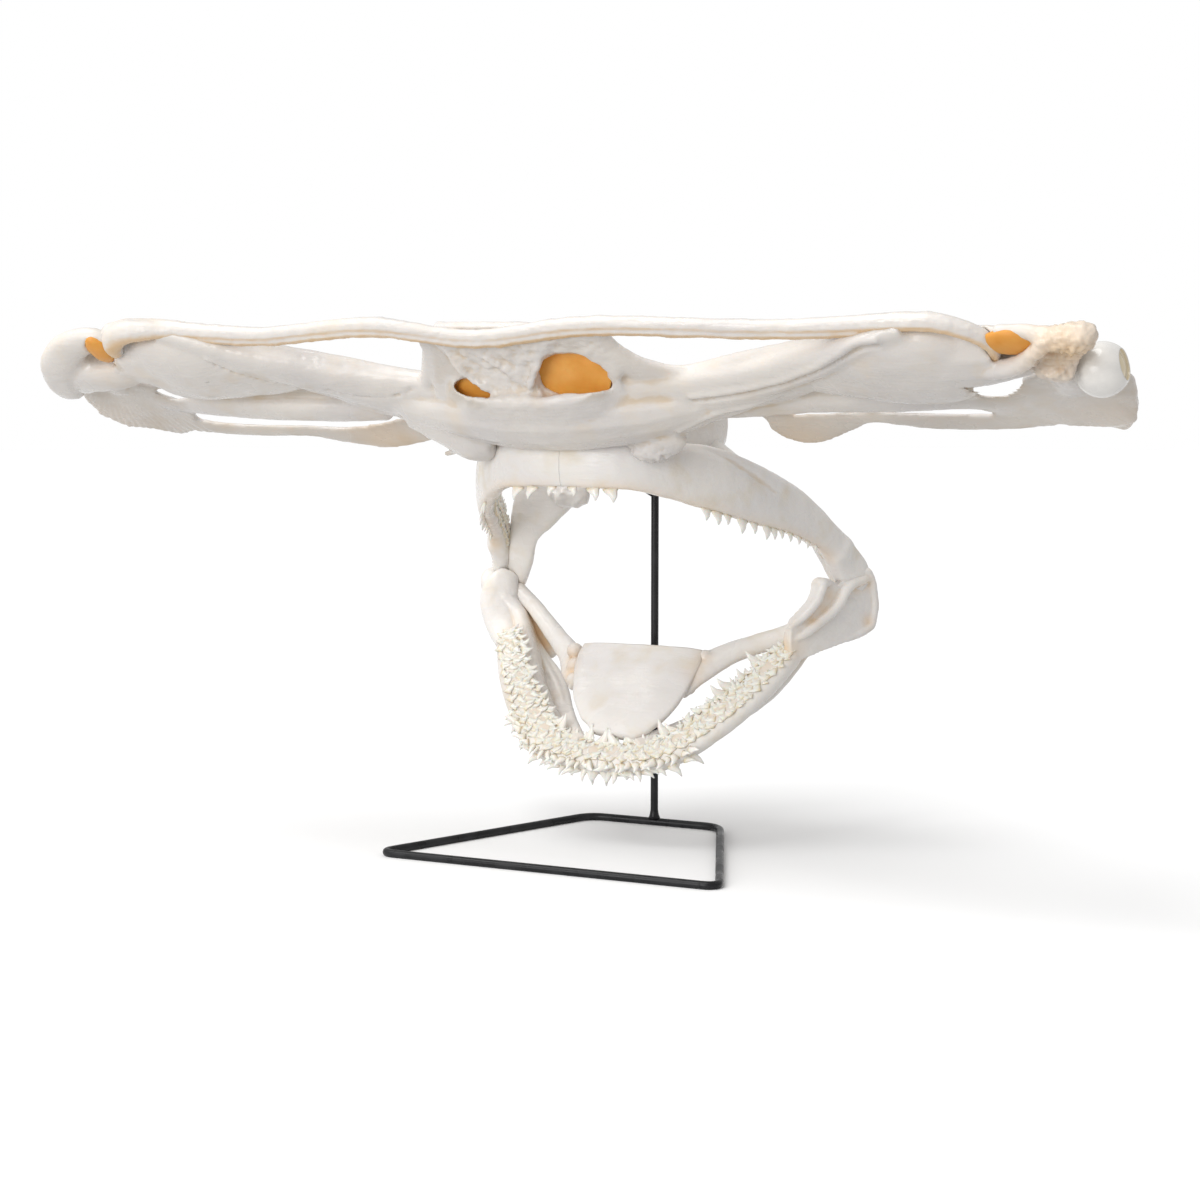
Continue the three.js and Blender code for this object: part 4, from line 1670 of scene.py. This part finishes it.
@dataclass
class LowerJaw(JawHalf):
    """One half of the lower jaw: the ramus, the tooth band on it and the plate of the joint."""

    jaw: ClassVar[str] = "lower"
    voxel: float = 0.9
    plate_thick: float = 7.0
    arch: Places = (
        (-12, 83, 52, 10),
        (35, 76, 58, 12),
        (60, 60, 74, 13),
        (80, 42, 93, 12),
        (97, 21, 115, 9),
        (112, 3, 132, 6),
    )
    seed: int = 8

    def band(self) -> Loft:
        """The shelf that carries the teeth.

        Returns:
            The loft, before it is built.
        """
        shelf = [(self.at(*place), wide, 6.5) for *place, wide in self.arch[:5]]
        shelf.append((self.at(101, 15, 121), 4, 3))
        return Loft(shelf, JAW_NORMAL, 40, 90, 2.6)

    def blade(self) -> Loft:
        """The ramus under the teeth, which widens into the plate of the joint.

        Returns:
            The loft, before it is built.
        """
        ramus = [(self.at(out - 8, fore - 12, up - 4), 6, 12) for out, fore, up, _ in self.arch]
        if self.side is Side.LEFT:
            ramus += [(self.at(118, -16, 138), 7, 16), (self.at(126, -28, 142), 5, 12)]
        else:
            ramus += [(self.at(123.5, -18, 137), 9, 24), (self.at(130.5, -29, 141), 8, 22)]
        return Loft(ramus, HYOID_NORMAL, 40, 90, 2.4)

    def plate(self) -> Piece:
        """The flat plate of the left joint.

        Returns:
            The closed mesh object.
        """
        outline = (
            (-40, -27), (-28, -23.5), (-5.6, -18), (10.7, -15), (20.5, -11.4), (25.4, -7), (27.5, 6),
            (25.4, 19), (22.4, 26.8), (17, 30.5), (13, 30), (7.7, 25.6), (-1.3, 22.8), (-6, 20),
            (-11, 23.3), (-17.5, 25.2), (-21.8, 23.2), (-23, 17.6), (-26.8, 11), (-35.5, 3.3), (-41, -1),
            (-44, -9), (-43.5, -19),
        )
        corners = [PLATE.at(*place, -self.plate_thick) for place in rounded(outline, 92)]
        return slab(corners, PLATE.at(0, 0, self.plate_thick) - PLATE.at(0, 0), "plate")

    def ridges(self) -> list[Loft]:
        """The thick edges of the left joint's plate and the bar that runs down it to the tooth band.

        Returns:
            The lofts, before they are built.
        """
        paths = (
            (
                (19.2, 23, 0, 2), (12.6, 22, 1, 3), (4.4, 20.5, 1.5, 3.4), (-1.2, 16.5, 1.5, 3.4),
                (-6, 9.2, 1.5, 3.4), (-12.4, 3.3, 1.5, 3.2), (-22, -2.5, 1.5, 3), (-31.5, -8.2, 1, 2.8),
                (-40, -12.4, -1, 1.8),
            ),
            (
                (-12.5, 22, 0, 2), (-18.5, 21.5, 1, 2.8), (-20.6, 17, 1, 2.8), (-24.3, 10, 1, 2.6),
                (-33, 2, 0.5, 2.4), (-44, -5.5, -2, 1.8),
            ),
            (
                (11, 26.5, -2, 2.4), (17, 27.5, -1, 3), (20, 24.5, -1, 3), (22.5, 18.5, -1, 3),
                (24.3, 6, -1, 3), (22.3, -6, -1, 3), (18, -9, -1, 2.8), (9, -12.5, -1.5, 2.4),
                (-6, -15.5, -2, 1.8),
            ),
        )
        outward = PLATE.at(0, 0, 1) - PLATE.at(0, 0)
        return [Loft(stations(PLATE.at, path), outward, 16, 60) for path in paths]

    def joint(self) -> Loft:
        """The block of the right joint, which has dried flat against the tooth band.

        Returns:
            The loft, before it is built.
        """
        path = (
            (116, -14, 158, 7), (118, -7, 149, 12), (119, -3, 138, 12), (114, 2, 125, 10),
            (104, 11, 114, 8),
        )
        block = [(self.at(*place), wide, 6) for *place, wide in path]
        return Loft(block, facing(Side.LEFT.way), 32, 50, 2.6)

    def inner(self) -> list[Loft]:
        """The inner face of the ramus, which leans in towards the tongue, with a ridge on each edge.

        Returns:
            The lofts, before they are built.
        """
        middle = ((108, -10, 132, 5), (90, 4, 107, 9), (70, 21, 88, 13), (47, 49, 71, 11), (22, 77, 61, 8))
        face = [(self.at(*place), wide, 3.5) for *place, wide in middle]
        ridges = (
            ((108, -13, 133), (97, 4, 107), (81, 20, 86), (56, 51, 68), (30, 80, 58)),
            ((104, -8, 134), (84, 6, 109), (63, 22, 91), (42, 47, 74), (20, 74, 64)),
        )
        edges = [Loft([(self.at(*place), 2.4, 2.4) for place in path], AHEAD, 16, 50) for path in ridges]
        return [Loft(face, facing(-self.side.way), 32, 70, 2.6), *edges]

    def body(self) -> Piece:
        """Grows the parts into one skin and trims it at the symphysis.

        Returns:
            The closed mesh object.
        """
        lofts = [self.band(), self.blade(), *self.inner()]
        lofts += self.ridges() if self.side is Side.LEFT else [self.joint()]
        parts = [loft.build("ramus") for loft in lofts]
        parts += [self.plate()] if self.side is Side.LEFT else []
        jaw = fuse(parts, f"lower_jaw_{self.side.value}_skin", self.voxel, 8)
        self.trim(jaw)
        roughen(jaw, 9, 0.8)
        note_relief(jaw, 8, 0.4)
        shelf = [self.band().section(0.025 * i).place(0.2 * self.side.way, 1) for i in range(4, 40)]
        spots = [(place, 8, 0.07) for place in shelf]
        spots += stations(self.at, ((97, -7, 121, 9, 0.75), (90, 0, 113, 7, 0.5), (4, 82, 58, 6, 0.3)))
        troughs = ((-13, 14), (-19, 6), (-27, -1), (17, 20), (9, 18.5), (18, -4))
        spots += [(PLATE.at(*place), 4.5, 0.3) for place in troughs]
        note(jaw, "amber", nearness(jaw, spots))
        return jaw

    def teeth(self) -> Piece:
        """Sets the flat rows, the spikes that splay out in front and the erect ones on the inner edge.

        Returns:
            All the teeth as one object.
        """
        draw = random.Random(self.seed)
        band = self.band()
        way = self.side.way
        name = f"lower_teeth_{self.side.value}"
        leaves = ToothRow(Tooth(0.85, 0.22, 0.15 * way), name)
        spikes = ToothRow(Tooth(0.75, 0.35, 0.1 * way), name)
        for count, share in enumerate(band.spread(0.057, 0.98, 3.6)):
            section = band.section(share)
            outer = section.across * -way
            normal = section.along
            for row, across in enumerate((0.75, 0.4, 0.05, -0.3, -0.65)):
                sway = 0.55 if (row + count) % 2 else -0.35
                lie = -outer * draw.uniform(0.5, 1) + section.tangent * (sway + draw.uniform(-0.45, 0.45))
                place = section.place(-way * (across + draw.uniform(-0.08, 0.08)), 0.9)
                face = normal + section.tangent * draw.uniform(-0.3, 0.3)
                leaves.seat(place, lie + normal * draw.uniform(0.02, 0.16), face, draw.uniform(5, 8.5))
            if share < (0.3 if self.side is Side.LEFT else 0.45):
                for along, low in ((0.5, -0.3), (-0.2, 0.2)):
                    axis = outer * draw.uniform(0.3, 0.8) - normal * draw.uniform(low, low + 0.4)
                    axis += section.tangent * draw.uniform(-0.8, 0.8)
                    place = section.place(-way * draw.uniform(0.8, 0.95), along)
                    spikes.seat(place, axis, outer + normal, draw.uniform(6, 10))
            if share < (0.8 if self.side is Side.LEFT else 0.3) and draw.random() < 0.55:
                axis = normal * draw.uniform(0.7, 1) - outer * draw.uniform(0.3, 0.6)
                axis += section.tangent * draw.uniform(-0.2, 0.2)
                place = section.place(way * draw.uniform(0.75, 0.9), 0.6)
                spikes.seat(place, axis, outer, draw.choice((5, 7, 9, 12)))
        return joined(leaves.collect() + spikes.collect(), name)


@dataclass
class Hyoid:
    """The tongue plate and the bars that hang it from the braincase."""

    voxel: float = 0.9
    rounds: int = 5
    tongue_fore: float = 26.0
    tongue_up: float = 116.0
    tongue_slope: float = 0.707

    def tongue(self) -> Piece:
        """The broad plate behind the lower teeth.

        Returns:
            The closed mesh object.
        """
        path = (
            (3, -2, 42, 3.6), (3, 10, 43, 4), (4, 27, 40, 4.4), (5, 43, 35, 4.6), (5, 58, 26, 4.4),
            (4, 68, 15, 3.6),
        )
        plate = []
        for out, down, wide, tall in path:
            drop = self.tongue_slope * down
            plate.append((DATUM.at(out, self.tongue_fore + drop, self.tongue_up - drop), wide, tall))
        return Loft(plate, HYOID_NORMAL, 56, 60, 3).build("basihyal_plate")

    def bar(self, side: Side) -> Piece:
        """The strap between the tongue plate and the joint of the jaws.

        Args:
            side: Which side of the animal.

        Returns:
            The closed mesh object.
        """
        paths = {
            Side.LEFT: (
                (36, 44, 92, 6, 3.5), (43, 31, 105, 11, 4.5), (60, 17, 116, 8.5, 5), (76, 6, 122, 7.5, 5),
                (92, -4, 128, 7, 5), (108, -17, 138, 6, 5),
            ),
            Side.RIGHT: (
                (36, 40, 92, 6, 3.5), (43, 27, 102, 11, 4.5), (55, 13, 109, 8, 5), (72, 2, 121, 6.5, 5),
                (91, -8, 136, 5.5, 5), (109, -16, 148, 5.5, 5),
            ),
        }
        place = mirrored(side, DATUM.at)
        strap = Loft(stations(place, paths[side]), HYOID_NORMAL, 32, 60).build("strap")
        lumps = []
        for out, fore, up, size in ((46, 24, 113, 5.5), (43, 30, 104, 5.5), (40, 38, 96, 5)):
            lumps.append(egg(place(out, fore, up), (size, size, size), "ligament"))
        hollow = ((103, -13, 138, 4, 2), (94, -10, 126, 9, 2), (84, -7, 114, 8, 2), (74, -4, 106, 4, 2))
        lumps.append(Loft(stations(place, hollow), facing(-side.way), 24, 40).build("membrane"))
        return fuse([strap, *lumps], f"ceratohyal_{side.value}_strap", self.voxel, self.rounds)

    def hanger(self, side: Side) -> Piece:
        """The plate that hangs the jaws from the braincase, with its crumpled upper lobe.

        Args:
            side: Which side of the animal.

        Returns:
            The closed mesh object.
        """
        paths = {
            Side.LEFT: (
                (28, 8, 245, 13, 8), (40, 7, 237, 15, 8), (66, 0, 222, 11, 5), (94, -14, 208, 8, 5),
                (121, -28, 158, 7, 6),
            ),
            Side.RIGHT: (
                (30, 8, 243, 13, 7), (43, 8, 235, 16, 7), (66, 8, 219, 17, 4), (85, 5, 203, 17, 3.5),
                (97, -3, 186, 11, 3.5), (105, -13, 166, 9, 4), (114, -23, 148, 6, 5),
            ),
        }
        place = mirrored(side, DATUM.at)
        plate = Loft(stations(place, paths[side]), AHEAD, 40, 70, 2.4).build("hanger_plate")
        lobe = egg(place(56, 12, 213), (14, 7, 8), "hanger_lobe")
        roughen(lobe, 7, 7)
        return fuse([plate, lobe], f"hyomandibula_{side.value}_plate", self.voxel, self.rounds)

    @staticmethod
    def ligaments() -> list[Spot]:
        """Where dried ligament shows: at the corners of the tongue plate and at the joints of the jaws.

        Returns:
            The spots, each with its size and strength.
        """
        spots = []
        for place in (mirrored(side, DATUM.at) for side in Side):
            spots += stations(place, (
                (46, 26, 110, 6, 0.45), (42, 34, 100, 7, 0.45), (114, -22, 150, 10, 0.45),
                (97, -11, 129, 7, 0.6), (90, -9, 120, 7, 0.6), (82, -7, 112, 7, 0.6),
            ))
        return spots

    def dress(self, material: Material) -> None:
        """Builds the pieces and gives them their finish.

        Args:
            material: Its finish.
        """
        pieces = {"basihyal": self.tongue()}
        for side in Side:
            pieces[f"ceratohyal_{side.value}"] = self.bar(side)
            pieces[f"hyomandibula_{side.value}"] = self.hanger(side)
        for node, piece in pieces.items():
            roughen(piece, 10, 0.9)
            note_relief(piece, 6, 0.4)
            note_thin(piece, 7)
            note(piece, "amber", nearness(piece, self.ligaments()))
            settle(piece, material, "jaw_cartilage", node)


@dataclass
class Eye:
    """An eyeball with the cream opening on its outer side."""

    side: Side
    radius: float = 14.8
    ahead: float = 84.0
    orbit_radius: float = 15.4
    opening: float = 0.8
    rim: float = 0.6
    sunk: float = 3.0

    def centre(self) -> Vector:
        """The middle of the ball."""
        return DATUM.on_hammer(self.side.way * self.side.eye_out, self.ahead)

    def orbit(self) -> Piece:
        """A plug that opens the socket in front of the ball, where the lids were.

        Returns:
            The closed mesh object.
        """
        forward = facing(self.side.way)
        wide = self.orbit_radius
        bore = [(self.centre() + forward * MM * reach, wide, wide) for reach in (0, 15, 30, 45)]
        return Loft(bore, UP, 32, 12).build("orbit_plug")

    def build(self) -> Piece:
        """Shapes a ball: the faces round the opening are sunk in and the ball is rounded again.

        Returns:
            The ball, with the values that its finish reads.
        """
        look = Vector((self.side.way * 0.97, -0.06, 0.22)).normalized()
        centre = self.centre()
        sphere = {"segments": 32, "ring_count": 20, "radius": self.radius * MM}
        ball = primitive(bpy.ops.mesh.primitive_uv_sphere_add, f"eyeball_{self.side.value}", **sphere)
        ball.data.transform(Matrix.Translation(centre) @ look.to_track_quat("Z", "Y").to_matrix().to_4x4())
        with editing(ball):
            bpy.ops.mesh.select_all(action="DESELECT")
        for face in ball.data.polygons:
            face.select = (face.center - centre).normalized().dot(look) > self.opening
        with editing(ball, everything=False):
            bpy.ops.mesh.select_mode(type="FACE")
            bpy.ops.mesh.inset(thickness=self.rim * MM)
            bpy.ops.mesh.extrude_region_move(TRANSFORM_OT_translate={"value": -self.sunk * MM * look})
        apply_modifier(ball, "SUBSURF", levels=1, render_levels=1)
        toward = (points_of(ball) - np.array(centre)) @ np.array(look) / (self.radius * MM)
        aside = np.linalg.norm(points_of(ball) - np.array(centre), axis=1) / (self.radius * MM)
        note(ball, "pupil", np.clip((toward - 0.6) * 8, 0, 1) * np.clip((0.985 - aside) * 30, 0, 1))
        return ball

    def dress(self, material: Material) -> Piece:
        """Builds the eye and gives it its finish."""
        return settle(self.build(), material, "sclera", f"eye_{self.side.value}")


@dataclass
class Stand:
    """The loop of black rod on the floor and the upright that carries the skull."""

    back_half: float = 46.7
    front_half: float = 113.0
    depth: float = 162.0
    bend: float = 12.0
    radius: float = 2.5
    top: float = 240.0
    bend_steps: int = 6

    def loop_path(self) -> list[Vector]:
        """Places along the loop, close together in its four bends.

        Returns:
            The places in order round the loop.
        """
        back = [(-self.back_half, 0), (self.back_half, 0)]
        corners = [*back, (self.front_half, self.depth), (-self.front_half, self.depth)]
        places = []
        for i, (out, fore) in enumerate(corners):
            corner = Vector((out, fore))
            before, after = ((Vector(corners[(i + k) % 4]) - corner) for k in (-1, 1))
            start, end = (corner + way.normalized() * self.bend for way in (before, after))
            for k in range(self.bend_steps + 1):
                t = k / self.bend_steps
                places.append((1 - t) ** 2 * start + 2 * t * (1 - t) * corner + t**2 * end)
            for t in (0.02, 0.25, 0.5, 0.75, 0.98):
                places.append(end.lerp(corner + after - after.normalized() * self.bend, t))
        return [DATUM.at(p.x, p.y, 0) for p in places]

    def loop(self) -> Piece:
        """The closed loop that lies on the floor."""
        wire = [(place, self.radius, self.radius) for place in self.loop_path()]
        return Loft(wire, UP, 20, 360, is_loop=True).build("stand_base_steel")

    def upright(self) -> Piece:
        """The rod, flared into its weld at the foot, with the prong under the upper jaw.

        Returns:
            The closed mesh object.
        """
        widths = [(2.6, 4.0), (4, 3.3), (7, 2.7)]
        widths += [(up, self.radius) for up in (12, 60, 120, 180, self.top)]
        rod = Loft([(DATUM.at(0, 0, up), wide, wide) for up, wide in widths], AHEAD, 20, 80).build("rod")
        bent = ((0, 0, 214, 2), (-4, 6, 218, 2), (-8, 12, 222, 2), (-12, 18, 227, 2), (-14, 22, 232, 2))
        prong = Loft(stations(DATUM.at, bent), AHEAD, 16, 24).build("prong")
        return joined([rod, prong], "stand_rod_steel")

    def dress(self) -> None:
        """Gives the steel its finish."""
        material = SteelFinish().make()
        settle(self.loop(), material, "black_steel", "stand_base")
        settle(self.upright(), material, "black_steel", "stand_rod")


@dataclass
class Studio:
    """Floor, lights and camera."""

    azimuth: float = 25.39
    elevation: float = 5.54
    distance: float = 1.5
    aside: float = -0.0356
    height: float = 0.146
    lens: float = 69.23
    floor_radius: float = 8.0
    ambient: float = 0.6

    def floor(self) -> None:
        """A wide flat floor that fades into the white of the studio."""
        circle = {"vertices": 96, "radius": self.floor_radius, "fill_type": "NGON"}
        floor = primitive(bpy.ops.mesh.primitive_circle_add, "studio_floor", **circle)
        with editing(floor):
            bpy.ops.mesh.inset(thickness=self.floor_radius / 2)
        floor.data.materials.append(FloorFinish().make())
        floor.visible_diffuse = False

    def light(self, name: str, kind: str, place: Vector, power: float, **settings: float) -> None:
        """A soft light that faces the skull, with the settings of its kind.

        Args:
            name: Name of the light.
            kind: The light's type.
            place: Where it stands, in metres.
            power: Its strength.
            settings: Values of the light's own properties.
        """
        lamp = bpy.data.lights.new(name, kind)
        lamp.energy = power
        for key, value in settings.items():
            setattr(lamp, key, value)
        obj = bpy.data.objects.new(name, lamp)
        obj.location = place
        obj.rotation_euler = (DATUM.at(0, 100, 200) - place).to_track_quat("-Z", "Y").to_euler()
        bpy.context.scene.collection.objects.link(obj)

    def camera(self) -> None:
        """The camera at the photograph's viewing angle."""
        turn, rise = math.radians(self.azimuth), math.radians(self.elevation)
        back = Vector((math.sin(turn) * math.cos(rise), -math.cos(turn) * math.cos(rise), math.sin(rise)))
        right = Vector((math.cos(turn), math.sin(turn), 0))
        target = DATUM.foot + right * self.aside + UP * self.height
        data = bpy.data.cameras.new("view")
        data.lens = self.lens
        data.sensor_width = 36
        camera = bpy.data.objects.new("view", data)
        camera.location = target + back * self.distance
        camera.rotation_euler = (-back).to_track_quat("-Z", "Y").to_euler()
        bpy.context.scene.collection.objects.link(camera)
        bpy.context.scene.camera = camera

    def build(self) -> None:
        """Sets the studio up."""
        world = bpy.data.worlds.new("studio")
        world.use_nodes = True
        nodes, links = world.node_tree.nodes, world.node_tree.links
        seen = nodes.new("ShaderNodeLightPath")
        strength = nodes.new("ShaderNodeMapRange")
        strength.inputs["To Min"].default_value = self.ambient
        nodes["Background"].inputs["Color"].default_value = (1, 1, 1, 1)
        links.new(seen.outputs["Is Camera Ray"], strength.inputs["Value"])
        links.new(strength.outputs["Result"], nodes["Background"].inputs["Strength"])
        bpy.context.scene.world = world
        bpy.context.scene.view_settings.view_transform = "Standard"
        self.floor()
        self.light("key", "SUN", Vector((-0.9, -0.8, 2.4)), 1.8, angle=math.radians(45))
        self.light("fill", "AREA", Vector((-0.5, -2.2, 0.65)), 24, size=1.2)
        self.camera()


def main() -> None:
    """Builds the model piece by piece and logs the face count of each piece."""
    logging.basicConfig(level=logging.INFO, format="%(message)s")
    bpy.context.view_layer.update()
    Studio().build()
    Chondrocranium().dress()
    amber = AmberFinish().make()
    Lining().dress(amber)
    for side in Side:
        Nostril(side).dress(amber)
    RostralBar().dress()
    jaw = CartilageFinish("jaw_cartilage_finish", warm=(0.72, 0.62, 0.46)).make()
    enamel = ToothFinish().make()
    for side in Side:
        UpperJaw(side).dress(jaw, enamel)
        LowerJaw(side).dress(jaw, enamel)
    Hyoid().dress(jaw)
    pearl = ScleraFinish().make()
    for side in Side:
        Eye(side).dress(pearl)
    Stand().dress()


if __name__ == "__main__":
    main()
